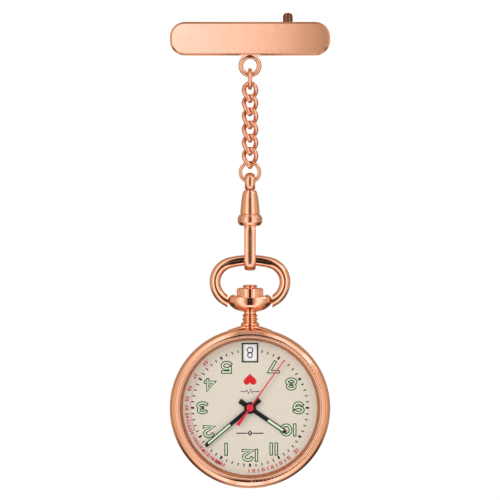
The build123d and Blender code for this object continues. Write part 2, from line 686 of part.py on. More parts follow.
# ---- motion work --------------------------------------------------------------------------
def make_hour_wheel():
    heading = direction(CENTRE, MINUTE)
    wheel = gear(CENTRE, HOUR_TEETH, MODULE_MOTION, LEVEL_HOUR, heading)
    wheel += gear(CENTRE, HOUR_PINION, MODULE_DATE, (LEVEL_DATE[0], LEVEL_HOUR[0]),
                  direction(CENTRE, DATE_DRIVE))
    wheel += disc(CENTRE, 0.60, HOUR_LEVEL[0], LEVEL_HOUR[1])
    return wheel - disc(CENTRE, 0.36, -3, 1)


def make_centre_wheel():
    """Centre wheel and cannon pinion on one tube."""
    wheel = gear(CENTRE, CENTRE_TEETH, MODULE_CENTRE, LEVEL_B, direction(CENTRE, THIRD))
    for index in range(4):
        wheel -= disc(polar(1.85, 45 + 90 * index), 0.75, 0, 2)
    wheel += gear(CENTRE, CANNON_TEETH, MODULE_MOTION, LEVEL_CANNON, direction(CENTRE, MINUTE))
    wheel += disc(CENTRE, 0.32, MINUTE_LEVEL[0], LEVEL_B[1])
    return wheel - disc(CENTRE, 0.16, -3, 2)


def minute_wheel_phase():
    heading = direction(CENTRE, MINUTE)
    return meshing_phase(heading, CANNON_TEETH, heading, MINUTE_TEETH)


def make_minute_wheel():
    heading = direction(CENTRE, MINUTE)
    wheel = gear(MINUTE, MINUTE_TEETH, MODULE_MOTION, LEVEL_CANNON, minute_wheel_phase())
    pinion_phase = meshing_phase(heading, HOUR_TEETH, heading, MINUTE_PINION)
    wheel += gear(MINUTE, MINUTE_PINION, MODULE_MOTION, (LEVEL_HOUR[0], LEVEL_CANNON[0]), pinion_phase)
    return wheel - disc(MINUTE, 0.20 + RUN, -2, 0)


def make_setting_wheel():
    phase = meshing_phase(minute_wheel_phase(), MINUTE_TEETH, direction(MINUTE, SETTING), SETTING_TEETH)
    wheel = gear(SETTING, SETTING_TEETH, MODULE_MOTION, LEVEL_CANNON, phase)
    return wheel - disc(SETTING, 0.25 + RUN, -2, 0)


def make_sliding_pinion():
    """Pinion that rides on the stem's square, with teeth round both ends."""
    pinion = rod_z(0.70, 6.52, 7.7)
    for index in range(12):
        across = polar(0.70, 30 * index)
        pinion -= rod_z(0.09, 6.4, 6.9, across[0], across[1])
        pinion -= rod_z(0.09, 7.4, 7.8, across[0], across[1])
    waist = rod_z(1.0, 7.0, 7.25) - rod_z(0.5, 6.9, 7.3)
    return pinion - waist - block((-0.28, 0.28), (-0.28, 0.28), (6, 8))


def make_setting_lever():
    """Lever whose stud sits in the stem's groove, so it tips when the crown is pulled."""
    arm = outline(((-0.35, LEVER[1] - 0.35, 0.3), (LEVER[0], LEVER[1] - 0.7, 0.5),
                   (LEVER[0] + 0.9, LEVER[1] - 1.4, 0.3), (LEVER[0] + 1.5, LEVER[1] - 0.8, 0.3),
                   (LEVER[0] + 0.8, LEVER[1] + 0.75, 0.5), (-0.35, LEVER[1] + 0.35, 0.3)))
    lever = plate(arm, *LEVER_LEVEL)
    lever += disc((0, LEVER[1]), 0.2, 0.26, LEVER_LEVEL[1])
    return lever - disc(LEVER, 0.30 + RUN, 0, 2)


# ---- train --------------------------------------------------------------------------------
def make_seconds_wheel():
    heading = direction(CENTRE, THIRD)
    pinion_phase = meshing_phase(heading, THIRD_TEETH, heading, SECONDS_PINION)
    wheel = gear(CENTRE, SECONDS_TEETH, MODULE_SECONDS, LEVEL_C, direction(CENTRE, INTERMEDIATE))
    for index in range(3):
        wheel -= disc(polar(1.25, 90 + 120 * index), 0.5, 1, 2)
    wheel += gear(CENTRE, SECONDS_PINION, MODULE_THIRD, (LEVEL_A[0], LEVEL_C[0]), pinion_phase)
    return wheel + disc(CENTRE, ARBOR_R, SECOND_LEVEL[0], ARBOR_TOP)


def make_third_wheel():
    heading = direction(THIRD, CENTRE)
    outward = direction(CENTRE, THIRD)
    pinion_phase = meshing_phase(outward, CENTRE_TEETH, outward, THIRD_PINION)
    wheel = gear(THIRD, THIRD_TEETH, MODULE_THIRD, LEVEL_A, heading)
    for index in range(4):
        hole = polar(1.8, 20 + 90 * index)
        wheel -= disc((THIRD[0] + hole[0], THIRD[1] + hole[1]), 0.7, 0, 2)
    wheel += gear(THIRD, THIRD_PINION, MODULE_CENTRE, (LEVEL_B[0], LEVEL_A[0]), pinion_phase)
    return wheel + disc(THIRD, ARBOR_R, ARBOR_FOOT, ARBOR_TOP)


def make_intermediate_wheel():
    """Wheel and pinion that run on a stud of the bridge."""
    heading = direction(CENTRE, INTERMEDIATE)
    pinion_phase = meshing_phase(heading, SECONDS_TEETH, heading, INTERMEDIATE_PINION)
    wheel = gear(INTERMEDIATE, INTERMEDIATE_TEETH, MODULE_ROTOR, LEVEL_D, direction(INTERMEDIATE, ROTOR))
    wheel += gear(INTERMEDIATE, INTERMEDIATE_PINION, MODULE_SECONDS, (LEVEL_C[0], LEVEL_D[0]), pinion_phase)
    return wheel - disc(INTERMEDIATE, 0.11 + RUN, 0, 2)


def make_rotor():
    """Magnet of the stepping motor with its pinion."""
    heading = direction(INTERMEDIATE, ROTOR)
    phase = meshing_phase(heading, INTERMEDIATE_TEETH, heading, ROTOR_TEETH)
    rotor = disc(ROTOR, 0.75, 0.66, 0.84) + disc(ROTOR, ARBOR_R, ARBOR_FOOT, ARBOR_TOP)
    return rotor + gear(ROTOR, ROTOR_TEETH, MODULE_ROTOR, LEVEL_D, phase)


def make_train_bridge():
    """Bridge over the train, on three pillars, with a stud for the intermediate wheel."""
    face = outline(((-8.4, -0.2), (-8.4, 1.5), (-4.6, 4.7), (2.9, 5.3), (3.75, 4.4), (1.75, -4.8),
                    (0.9, -5.4), (-4.2, -3.6)), 0.6)
    bridge = plate(face, *BRIDGE)
    for pillar in PILLARS:
        bridge += disc(pillar, 0.75, PLATE_BACK, BRIDGE[0])
        bridge -= disc(pillar, 0.32, 0, 2)
    for arbor in (CENTRE, THIRD, ROTOR):
        bridge -= disc(arbor, ARBOR_R + RUN, 0, 2)
    stud = disc(INTERMEDIATE, 0.11, 1.0, BRIDGE[0]) + disc(INTERMEDIATE, 0.2, 0.99, 1.03)
    return bridge + stud


def make_bridge_screws():
    """Three identical cheese-head screws."""
    screws = []
    for pillar in PILLARS:
        screw = disc(pillar, 0.60, BRIDGE[1], 1.86) + disc(pillar, 0.28, 0.1, BRIDGE[1])
        slot = plate(Pos(pillar[0], pillar[1]) * Rot(0, 0, 35) * Rectangle(1.4, 0.16), 1.74, 2)
        screws.append(screw - slot)
    return Compound(children=screws)


def coil_frame(shape):
    """Place a shape drawn along X on the coil's axis."""
    return Pos(COIL[0], 0, COIL[1]) * Rot(0, -COIL_ANGLE, 0) * shape


def make_coil():
    """Winding with a cheek at each end; its bore is the core's section."""
    half = COIL_LENGTH / 2
    winding = rod_x(COIL_R - 0.1, -half, half, COIL_Y, 0)
    for side in (-1, 1):
        low, high = sorted((side * (half - 0.25), side * half))
        winding += rod_x(COIL_R, low, high, COIL_Y, 0)
    winding -= block((-5, 5), (0.79, 1.11), (-0.41, 0.41))
    return coil_frame(winding)


def make_coil_core():
    half = CORE_LENGTH / 2
    core = block((-half, half), (0.81, 1.09), (-0.40, 0.40))
    return coil_frame(core)


def make_stator():
    """Thin yoke round the rotor's hole, with a leg to each end of the coil's core."""
    offset = Vector(ROTOR[0] - COIL[0], ROTOR[1] - COIL[1])
    turn = radians(COIL_ANGLE)
    along = offset.X * cos(turn) + offset.Y * sin(turn)
    below = -offset.X * sin(turn) + offset.Y * cos(turn)
    end = CORE_LENGTH / 2 + 0.15
    face = outline(((-end, 0.5), (-3.6, 0.5), (-3.5, -1.1), (along - 1.1, below + 1.35),
                    (along + 1.1, below + 1.35), (3.5, -1.1), (3.6, 0.5), (end, 0.5), (end, -1.3),
                    (along + 1.3, below - 1.3), (along - 1.3, below - 1.3), (-end, -1.3)), 0.2)
    yoke = plate(face - Pos(along, below) * Circle(0.95), 0.66, 0.80)
    return coil_frame(yoke)


def make_circuit_board():
    """Board along the lower left of the movement, with a row of pads."""
    face = (Circle(12.0) - Circle(8.2)) & sector(190, 290, 14)
    board = plate(face, PLATE_BACK + 0.01, 0.85)
    for index in range(5):
        board += disc(polar(11.2, 205 + 14 * index), 0.35, 0.80, 0.92)
    chip = plate(Pos(*polar(10.0, 216)) * Rot(0, 0, 216) * Rectangle(2.0, 2.2), 0.80, 1.25)
    return board + chip


def sector(start, end, radius):
    """Pie-shaped face between two angles."""
    steps = 6
    corners = [(0, 0)]
    for index in range(steps + 1):
        angle = start + (end - start) * index / steps
        corners.append(polar(radius * 1.2, angle))
    return outline(corners)


def make_quartz_can():
    """Sealed crystal can lying across the board."""
    centre = polar(9.8, 250)
    can = rod_x(0.5, -1.7, 1.7, 1.37, 0)
    can = fillet(can.edges(), 0.12)
    return Pos(centre[0], 0, centre[1]) * Rot(0, -(250 - 90), 0) * can


def make_battery():
    return disc(BATTERY, BATTERY_R, -0.45, 1.45) + disc(BATTERY, BATTERY_R - 0.6, 1.45, 1.65)


def make_battery_clamp():
    span = Vector(BATTERY[0] - CLAMP_FOOT[0], BATTERY[1] - CLAMP_FOOT[1])
    middle = (CLAMP_FOOT[0] + span.X / 2, CLAMP_FOOT[1] + span.Y / 2)
    turn = degrees(atan2(span.Y, span.X))
    strap = Pos(*middle) * Rot(0, 0, turn) * Rectangle(span.length, 1.3)
    face = strap + Pos(*BATTERY) * Circle(1.6) + Pos(*CLAMP_FOOT) * Circle(0.65)
    return plate(face, 1.67, 1.80) + disc(CLAMP_FOOT, 0.5, PLATE_BACK, 1.70)


def make_main_plate():
    base = disc(CENTRE, PLATE_R, PLATE_FRONT, PLATE_BACK)
    base -= disc(CENTRE, RECESS_R, -1, RECESS_Y)
    base -= disc(BATTERY, BATTERY_R + 0.1, -0.48, 1)
    base -= coil_frame(block((-COIL_LENGTH / 2 - 0.15, COIL_LENGTH / 2 + 0.15), (0.05, 1), (-0.95, 0.95)))
    base -= rod_z(STEM_R + 0.05, 5.8, 14)
    base -= block((-0.8, 0.8), (-1, 1), (6.4, 7.9))
    base -= disc((0.1, LEVER[1] + 0.5), 0.9, 0, 1)
    base -= disc(CENTRE, 0.32 + RUN, -1, 1)
    for arbor in (THIRD, ROTOR):
        base -= disc(arbor, ARBOR_R + RUN, 0, 1)
    for pillar in PILLARS:
        base -= disc(pillar, 0.30, 0, 1)
    base += disc(DATE_DRIVE, 0.30, -0.82, RECESS_Y)
    base += disc(MINUTE, 0.20, -0.61, RECESS_Y)
    base += disc(SETTING, 0.25, -0.44, RECESS_Y)
    return base + disc(LEVER, 0.30, PLATE_BACK, 0.95)


# ---- assembly -----------------------------------------------------------------------------
def build_parts():
    """All nodes, drawn about the dial's centre."""
    link = make_chain_link()
    parts = {
        "brooch_bar": make_brooch_bar(),
        "pin_bracket": make_pin_bracket(),
        "pin_rivet": make_pin_rivet(),
        "brooch_pin": make_brooch_pin(),
        "catch_body": make_catch_body(),
        "catch_lock": make_catch_lock(),
        "top_ring": ring_of_wire(TOP_RING_R, RING_WIRE_R, TOP_RING_Z, "x"),
        "lower_ring": ring_of_wire(LOWER_RING_R, LOWER_WIRE_R, LOWER_RING_Z, "y"),
        "swivel_eye": make_swivel_eye(),
        "swivel_body": make_swivel_body(),
        "swivel_gate": make_swivel_gate(),
        "gate_pin": make_gate_pin(),
        "gate_spring": make_gate_spring(),
        "bow": make_bow(),
        "pendant": make_pendant(),
        "crown": make_crown(),
        "crown_gasket": make_crown_gasket(),
        "setting_stem": make_setting_stem(),
        "case_band": make_case_band(),
        "bezel": make_bezel(),
        "crystal": make_crystal(),
        "crystal_gasket": make_crystal_gasket(),
        "case_back": make_case_back(),
        "back_gasket": make_back_gasket(),
        "movement_ring": make_movement_ring(),
        "dial": make_dial(),
        "hour_hand": make_hour_hand(),
        "minute_hand": make_minute_hand(),
        "second_hand": make_second_hand(),
        "hour_lume": make_hour_lume(),
        "minute_lume": make_minute_lume(),
        "date_ring": make_date_ring(),
        "date_jumper": make_date_jumper(),
        "date_wheel": make_date_wheel(),
        "hour_wheel": make_hour_wheel(),
        "centre_wheel": make_centre_wheel(),
        "minute_wheel": make_minute_wheel(),
        "setting_wheel": make_setting_wheel(),
        "sliding_pinion": make_sliding_pinion(),
        "setting_lever": make_setting_lever(),
        "seconds_wheel": make_seconds_wheel(),
        "third_wheel": make_third_wheel(),
        "intermediate_wheel": make_intermediate_wheel(),
        "rotor": make_rotor(),
        "train_bridge": make_train_bridge(),
        "bridge_screws": make_bridge_screws(),
        "coil": make_coil(),
        "coil_core": make_coil_core(),
        "stator": make_stator(),
        "circuit_board": make_circuit_board(),
        "quartz_can": make_quartz_can(),
        "battery": make_battery(),
        "battery_clamp": make_battery_clamp(),
        "main_plate": make_main_plate(),
    }
    for index in range(LINK_COUNT):
        parts[f"chain_link_{index + 1}"] = Pos(0, 0, LINK_Z - index * LINK_PITCH) * link
    return parts


def main():
    os.makedirs("parts", exist_ok=True)
    for name, shape in build_parts().items():
        export_step(TO_PIN * shape, f"parts/{name}.step")
    print(f"origin is {PIN_Z} mm above and {PIN_Y} mm behind the dial's centre")


main()
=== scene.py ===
"""Fob watch: finishes, printed dial, chain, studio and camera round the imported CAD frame."""

import math

import bmesh
import bpy
from mathutils import Matrix, Vector


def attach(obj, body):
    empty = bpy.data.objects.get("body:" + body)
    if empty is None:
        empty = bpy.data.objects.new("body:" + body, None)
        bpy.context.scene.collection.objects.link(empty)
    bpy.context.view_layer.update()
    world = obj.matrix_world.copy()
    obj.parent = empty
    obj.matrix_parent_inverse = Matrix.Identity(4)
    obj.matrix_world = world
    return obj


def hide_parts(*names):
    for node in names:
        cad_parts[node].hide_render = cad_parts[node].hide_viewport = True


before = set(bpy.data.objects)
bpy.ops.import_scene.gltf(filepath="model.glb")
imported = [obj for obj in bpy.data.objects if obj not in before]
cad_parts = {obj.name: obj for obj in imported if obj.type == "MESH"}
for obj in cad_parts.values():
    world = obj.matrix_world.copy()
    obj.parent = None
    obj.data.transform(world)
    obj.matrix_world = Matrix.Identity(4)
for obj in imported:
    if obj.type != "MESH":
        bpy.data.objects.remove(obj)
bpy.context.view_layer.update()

MM = 0.001
# lengths are in mm down to the studio section
DIAL_Z = -72.6            # height of the hands' axis
DIAL_Y = -3.5             # the dial's printed face
RING_Y = -3.1             # the date ring's printed face
PRINT_LIFT = 0.002        # printing starts this far above its surface
INK_HIGH = 0.02           # and most of it ends this far above

# ---- node materials -----------------------------------------------------------------------


class Finish:
    """A material with one Principled shader, and short calls for the textures that drive it."""

    def __init__(self, name, colour, roughness, **sockets):
        self.material = bpy.data.materials.new(name)
        self.material.use_nodes = True
        self.tree = self.material.node_tree
        self.tree.nodes.clear()
        self.output = self.node("ShaderNodeOutputMaterial")
        self.shader = self.node("ShaderNodeBsdfPrincipled")
        self.tree.links.new(self.shader.outputs["BSDF"], self.output.inputs["Surface"])
        self.shader.inputs["Base Color"].default_value = (*colour, 1)
        self.shader.inputs["Roughness"].default_value = roughness
        for socket, value in sockets.items():
            self.shader.inputs[socket.replace("_", " ")].default_value = value
        coordinates = self.node("ShaderNodeTexCoord")
        # object coordinates in mm
        self.place = self.node("ShaderNodeMapping")
        self.place.inputs["Scale"].default_value = (1 / MM, 1 / MM, 1 / MM)
        self.tree.links.new(coordinates.outputs["Object"], self.place.inputs["Vector"])
        self.normal = None

    def node(self, kind, **values):
        """New node with its settings."""
        node = self.tree.nodes.new(kind)
        for name, value in values.items():
            setattr(node, name, value)
        return node

    def stretched(self, stretch):
        """Object coordinates in mm, scaled by stretch along each axis."""
        mapping = self.node("ShaderNodeMapping")
        mapping.inputs["Scale"].default_value = stretch
        self.tree.links.new(self.place.outputs["Vector"], mapping.inputs["Vector"])
        return mapping.outputs["Vector"]

    def noise(self, scale, detail=3.0, stretch=(1, 1, 1), roughness=0.55):
        """Noise with scale features in a millimetre."""
        noise = self.node("ShaderNodeTexNoise")
        noise.inputs["Scale"].default_value = scale
        noise.inputs["Detail"].default_value = detail
        noise.inputs["Roughness"].default_value = roughness
        self.tree.links.new(self.stretched(stretch), noise.inputs["Vector"])
        return noise.outputs["Fac"]

    def cells(self, scale):
        """Grains, scale of them in a millimetre."""
        cells = self.node("ShaderNodeTexVoronoi")
        cells.inputs["Scale"].default_value = scale
        self.tree.links.new(self.place.outputs["Vector"], cells.inputs["Vector"])
        return cells.outputs["Distance"]

    def rings(self, scale, centre, distortion=0.0):
        """Turned lines round the Y axis through centre, scale of them in a millimetre."""
        move = self.node("ShaderNodeMapping")
        move.inputs["Location"].default_value = (-centre[0], 0, -centre[1])
        self.tree.links.new(self.place.outputs["Vector"], move.inputs["Vector"])
        wave = self.node("ShaderNodeTexWave", wave_type="RINGS", rings_direction="Y")
        wave.inputs["Scale"].default_value = scale
        wave.inputs["Distortion"].default_value = distortion
        self.tree.links.new(move.outputs["Vector"], wave.inputs["Vector"])
        return wave.outputs["Fac"]

    def radius(self, centre):
        """Distance in mm from the line through centre along Y."""
        move = self.node("ShaderNodeMapping")
        move.inputs["Location"].default_value = (-centre[0], 0, -centre[1])
        move.inputs["Scale"].default_value = (1, 0, 1)
        self.tree.links.new(self.place.outputs["Vector"], move.inputs["Vector"])
        length = self.node("ShaderNodeVectorMath", operation="LENGTH")
        self.tree.links.new(move.outputs["Vector"], length.inputs[0])
        return length.outputs["Value"]

    def stripes(self, scale, direction, turn, distortion=0.0):
        """Straight stripes, scale of them in a millimetre or so, turned turn radians about Y."""
        move = self.node("ShaderNodeMapping")
        move.inputs["Rotation"].default_value = (0, turn, 0)
        self.tree.links.new(self.place.outputs["Vector"], move.inputs["Vector"])
        wave = self.node("ShaderNodeTexWave", wave_type="BANDS", bands_direction=direction)
        wave.inputs["Scale"].default_value = scale
        wave.inputs["Distortion"].default_value = distortion
        self.tree.links.new(move.outputs["Vector"], wave.inputs["Vector"])
        return wave.outputs["Fac"]

    def spread(self, source, low, high, start=0.3, stop=0.7):
        """Map source from start..stop to low..high."""
        remap = self.node("ShaderNodeMapRange")
        remap.inputs["From Min"].default_value = start
        remap.inputs["From Max"].default_value = stop
        remap.inputs["To Min"].default_value = low
        remap.inputs["To Max"].default_value = high
        self.tree.links.new(source, remap.inputs["Value"])
        return remap.outputs["Result"]

    def colour(self, source, low, high, start=0.3, stop=0.7):
        """Colour that goes from low to high with source."""
        ramp = self.node("ShaderNodeValToRGB")
        ramp.color_ramp.elements[0].position = start
        ramp.color_ramp.elements[1].position = stop
        ramp.color_ramp.elements[0].color = (*low, 1)
        ramp.color_ramp.elements[1].color = (*high, 1)
        self.tree.links.new(source, ramp.inputs["Fac"])
        self.tree.links.new(ramp.outputs["Color"], self.shader.inputs["Base Color"])

    def gloss(self, source, low, high, start=0.3, stop=0.7):
        """Roughness that goes from low to high with source."""
        value = self.spread(source, low, high, start, stop)
        self.tree.links.new(value, self.shader.inputs["Roughness"])

    def relief(self, source, height):
        """Bump of height mm, on top of any earlier one."""
        bump = self.node("ShaderNodeBump")
        bump.inputs["Strength"].default_value = 1.0
        bump.inputs["Distance"].default_value = height * MM
        self.tree.links.new(source, bump.inputs["Height"])
        if self.normal is not None:
            self.tree.links.new(self.normal, bump.inputs["Normal"])
        self.normal = bump.outputs["Normal"]
        self.tree.links.new(self.normal, self.shader.inputs["Normal"])


DIAL_CENTRE = (0, DIAL_Z)
BEZEL_LIP_R = 13.9        # inside this radius the bezel is satin, and its gold is darker as painted shade on the recessed inner wall
BEZEL_LIP_BLEND = 0.05
# colour of the bezel's inner wall: the gold darkened to paint the shade of the recess
SHADED_BEZEL_WALL = (0.62, 0.27, 0.14)
BEZEL_WALL_ROUGHNESS = 0.42
POLISHED = 0.075          # roughness of the bezel's outside
CELL_CENTRE = (7.7, DIAL_Z - 2.8)
PATCHES = 0.35            # patches of slightly different colour in a millimetre
GOLD = (0.90, 0.50, 0.33)
GOLD_WARM = (0.87, 0.465, 0.295)
STEEL = (0.62, 0.61, 0.60)


def plain_metal(name, colour, darker, roughness):
    """Metal whose colour changes a little over the surface."""
    finish = Finish(name, colour, roughness, Metallic=1.0)
    finish.colour(finish.noise(PATCHES, 4), darker, colour)
    return finish


def metal(name, colour, darker, roughness):
    """Metal whose colour and gloss change a little over the surface."""
    finish = plain_metal(name, colour, darker, roughness)
    finish.gloss(finish.noise(2.2, 5), roughness * 0.8, roughness * 1.35)
    return finish


def ink(name, colour, low, high):
    """Matt printing ink."""
    finish = Finish(name, colour, 0.5)
    finish.colour(finish.noise(6, 4), low, high)
    finish.relief(finish.noise(30, 3), 0.002)
    return finish


def make_finishes():
    """Every finish but the crystal's, by the name that nodes and pieces ask for."""
    made = {}

    polished = metal("polished_rose_gold", GOLD, GOLD_WARM, 0.055)
    polished.relief(polished.noise(0.5, 1), 0.0008)
    polished.relief(polished.noise(9, 2, (1, 1, 0.2)), 0.00005)
    made["rose_gold"] = polished

    lipped = Finish("bezel_rose_gold", GOLD, POLISHED, Metallic=1.0)
    wall = lipped.spread(lipped.radius(DIAL_CENTRE), 0, 1, BEZEL_LIP_R - BEZEL_LIP_BLEND,
                         BEZEL_LIP_R + BEZEL_LIP_BLEND)
    # painted shade: the inner wall gets the darker colour, the rest of the bezel the plain gold
    lipped.colour(wall, SHADED_BEZEL_WALL, GOLD, 0.0, 1.0)
    lipped.gloss(wall, BEZEL_WALL_ROUGHNESS, POLISHED, 0.0, 1.0)
    lipped.relief(lipped.noise(0.4, 1), 0.0008)
    made["bezel"] = lipped

    clear_seal = Finish("clear_seal", (0.78, 0.50, 0.38), 0.35)
    clear_seal.colour(clear_seal.noise(5, 4), (0.70, 0.43, 0.32), (0.82, 0.55, 0.43))
    clear_seal.relief(clear_seal.noise(24, 3), 0.003)
    made["clear_seal"] = clear_seal

    drawn = metal("drawn_rose_gold", GOLD, GOLD_WARM, 0.05)
    drawn.relief(drawn.noise(7, 3, (0.03, 1, 1)), 0.00003)
    made["bar"] = drawn

    satin = metal("satin_rose_gold", GOLD, GOLD_WARM, 0.19)
    satin.relief(satin.noise(3, 3), 0.0002)
    made["satin"] = satin

    # catch lock and body: rougher gold, its colour darkened as painted shade where the catch sits
    # behind the bar
    worn = metal("catch_gold_painted_shade", (0.66, 0.33, 0.2), (0.5, 0.24, 0.14), 0.2)
    worn.relief(worn.noise(11, 4), 0.0006)
    made["worn"] = worn

    turned = plain_metal("turned_rose_gold", GOLD, GOLD_WARM, 0.2)
    turned.gloss(turned.rings(0.42, DIAL_CENTRE, 0.6), 0.15, 0.26, 0.1, 0.9)
    turned.relief(turned.rings(3.2, DIAL_CENTRE, 0.4), 0.0012)
    turned.relief(turned.rings(0.9, DIAL_CENTRE, 1.5), 0.0016)
    made["back"] = turned

    pin = metal("drawn_steel", (0.70, 0.69, 0.67), (0.58, 0.57, 0.56), 0.16)
    pin.relief(pin.noise(20, 3, (0.03, 1, 1)), 0.0008)
    made["brooch_steel"] = pin

    small = metal("brushed_steel", STEEL, (0.48, 0.47, 0.46), 0.24)
    small.relief(small.noise(16, 4, (0.08, 1, 1)), 0.0015)
    made["small_steel"] = small

    spring = metal("blued_spring_steel", (0.34, 0.37, 0.44), (0.22, 0.24, 0.32), 0.2)
    spring.relief(spring.noise(22, 3, (1, 1, 0.1)), 0.001)
    made["spring_steel"] = spring

    rubber = Finish("seal_rubber", (0.018, 0.018, 0.02), 0.7)
    rubber.colour(rubber.noise(9, 4), (0.012, 0.012, 0.013), (0.03, 0.03, 0.032))
    rubber.relief(rubber.noise(40, 3), 0.004)
    made["seal_rubber"] = rubber

    enamel = Finish("dial_enamel", (0.73, 0.655, 0.56), 0.62)
    enamel.colour(enamel.noise(7, 6, roughness=0.7), (0.69, 0.615, 0.52), (0.765, 0.69, 0.595))
    enamel.gloss(enamel.noise(5, 3), 0.5, 0.7)
    enamel.relief(enamel.noise(18, 5, roughness=0.7), 0.01)
    made["dial_enamel"] = enamel

    black = Finish("hand_black", (0.008, 0.008, 0.011), 0.3, Coat_Weight=0.3, Coat_Roughness=0.2)
    black.colour(black.noise(3, 4), (0.005, 0.005, 0.008), (0.012, 0.012, 0.017))
    black.relief(black.noise(24, 3), 0.001)
    made["hand_black"] = black

    red = Finish("hand_red", (0.74, 0.012, 0.035), 0.34, Coat_Weight=0.2, Coat_Roughness=0.2)
    red.colour(red.noise(4, 4), (0.68, 0.01, 0.03), (0.78, 0.016, 0.045))
    red.relief(red.noise(24, 3), 0.001)
    made["hand_red"] = red

    lume = Finish("hand_lume", (0.64, 0.82, 0.54), 0.75)
    lume.colour(lume.cells(9), (0.56, 0.75, 0.46), (0.70, 0.87, 0.60), 0.1, 0.6)
    lume.relief(lume.cells(14), 0.006)
    made["hand_lume"] = lume

    white = Finish("date_white", (0.94, 0.94, 0.95), 0.55)
    white.colour(white.noise(5, 4), (0.92, 0.92, 0.93), (0.96, 0.96, 0.97))
    white.relief(white.noise(30, 3), 0.002)
    made["date_white"] = white

    for name, colour, darker in (
        ("movement_brass", (0.72, 0.56, 0.30), (0.62, 0.46, 0.22)),
        ("movement_nickel", (0.66, 0.64, 0.60), (0.55, 0.53, 0.49)),
    ):
        striped = metal(name, colour, darker, 0.2)
        striped.relief(striped.stripes(0.32, "X", math.pi / 4), 0.012)
        striped.relief(striped.noise(18, 4, (1, 1, 0.1)), 0.001)
        made[name] = striped

    gear = metal("gear_brass", (0.78, 0.60, 0.30), (0.66, 0.47, 0.2), 0.2)
    gear.relief(gear.noise(16, 4), 0.002)
    made["gear_brass"] = gear

    holder = Finish("holder_plastic", (0.04, 0.042, 0.045), 0.5)
    holder.colour(holder.noise(2.5, 4), (0.03, 0.032, 0.035), (0.055, 0.058, 0.062))
    holder.relief(holder.noise(26, 4), 0.008)
    made["holder_plastic"] = holder

    board = Finish("board_green", (0.015, 0.12, 0.055), 0.32, Coat_Weight=0.4)
    tracks = board.stripes(0.9, "DIAGONAL", 0.3, 6.0)
    board.colour(tracks, (0.012, 0.095, 0.045), (0.03, 0.20, 0.095), 0.55, 0.6)
    board.relief(tracks, 0.012)
    made["board_green"] = board

    copper = metal("coil_copper", (0.80, 0.36, 0.18), (0.56, 0.20, 0.09), 0.22)
    copper.relief(copper.stripes(3.6, "X", -math.pi / 4), 0.03)
    made["coil_copper"] = copper

    cell = metal("cell_steel", (0.72, 0.71, 0.69), (0.6, 0.59, 0.57), 0.2)
    cell.relief(cell.rings(2.4, CELL_CENTRE, 0.5), 0.0015)
    made["cell_steel"] = cell

    magnet = metal("magnet_grey", (0.22, 0.22, 0.23), (0.15, 0.15, 0.16), 0.42)
    magnet.relief(magnet.noise(14, 5), 0.01)
    made["magnet_grey"] = magnet

    made["ink_dark"] = ink("ink_green_black", (0.012, 0.03, 0.014), (0.008, 0.022, 0.010),
                           (0.02, 0.042, 0.02))
    made["ink_black"] = ink("ink_black", (0.01, 0.01, 0.01), (0.006, 0.006, 0.007),
                            (0.018, 0.018, 0.02))
    made["ink_red"] = ink("ink_red", (0.62, 0.03, 0.07), (0.55, 0.02, 0.05), (0.70, 0.045, 0.09))
    made["ink_slate"] = ink("ink_slate", (0.07, 0.08, 0.12), (0.055, 0.06, 0.10),
                            (0.09, 0.10, 0.14))

    heart_red = Finish("heart_red", (0.72, 0.008, 0.015), 0.28, Coat_Weight=0.5)
    heart_red.colour(heart_red.noise(3, 4), (0.64, 0.006, 0.012), (0.78, 0.012, 0.02))
    heart_red.relief(heart_red.noise(20, 3), 0.003)
    made["heart_red"] = heart_red
    return made


GLASS_TINT = (0.992, 0.995, 0.992, 1)
GLASS_MIRROR = 0.03       # share that it mirrors straight on


def make_crystal_finish():
    """Flat glass: clear straight on, mirroring at a low angle."""
    finish = Finish("crystal_glass", (1, 1, 1), 0.02, Metallic=1.0)
    finish.gloss(finish.noise(0.8, 3), 0.012, 0.03)
    slant = finish.node("ShaderNodeLayerWeight")
    slant.inputs["Blend"].default_value = 0.5
    curve = finish.node("ShaderNodeMath", operation="POWER")
    curve.inputs[1].default_value = 5
    share = finish.node("ShaderNodeMapRange")
    share.inputs["To Min"].default_value = GLASS_MIRROR
    clear = finish.node("ShaderNodeBsdfTransparent")
    clear.inputs["Color"].default_value = GLASS_TINT
    mix = finish.node("ShaderNodeMixShader")
    links = finish.tree.links
    links.new(slant.outputs["Facing"], curve.inputs[0])
    links.new(curve.outputs[0], share.inputs["Value"])
    links.new(share.outputs["Result"], mix.inputs["Fac"])
    links.new(clear.outputs["BSDF"], mix.inputs[1])
    links.new(finish.shader.outputs["BSDF"], mix.inputs[2])
    links.new(mix.outputs["Shader"], finish.output.inputs["Surface"])
    return finish


FINISHES = make_finishes()
FINISHES["crystal_glass"] = make_crystal_finish()
# nodes whose finish isn't the one their material slot names
# the catch parts take the gold darkened as painted shade
NODE_FINISH = {"brooch_bar": "bar", "case_back": "back", "bezel": "bezel",
               "crystal_gasket": "clear_seal", "catch_lock": "worn", "catch_body": "worn",
               "swivel_body": "satin", "swivel_eye": "satin", "swivel_gate": "satin"}


def dress_cad_nodes():
    """Give every CAD node the finish of its material slot, or its own."""
    for name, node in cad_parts.items():
        slot_name = node.material_slots[0].material.name.split(".")[0]
        finish = FINISHES[NODE_FINISH.get(name, slot_name)]
        for entry in node.material_slots:
            entry.link = "OBJECT"
            entry.material = finish.material


dress_cad_nodes()

# ---- pieces -------------------------------------------------------------------------------


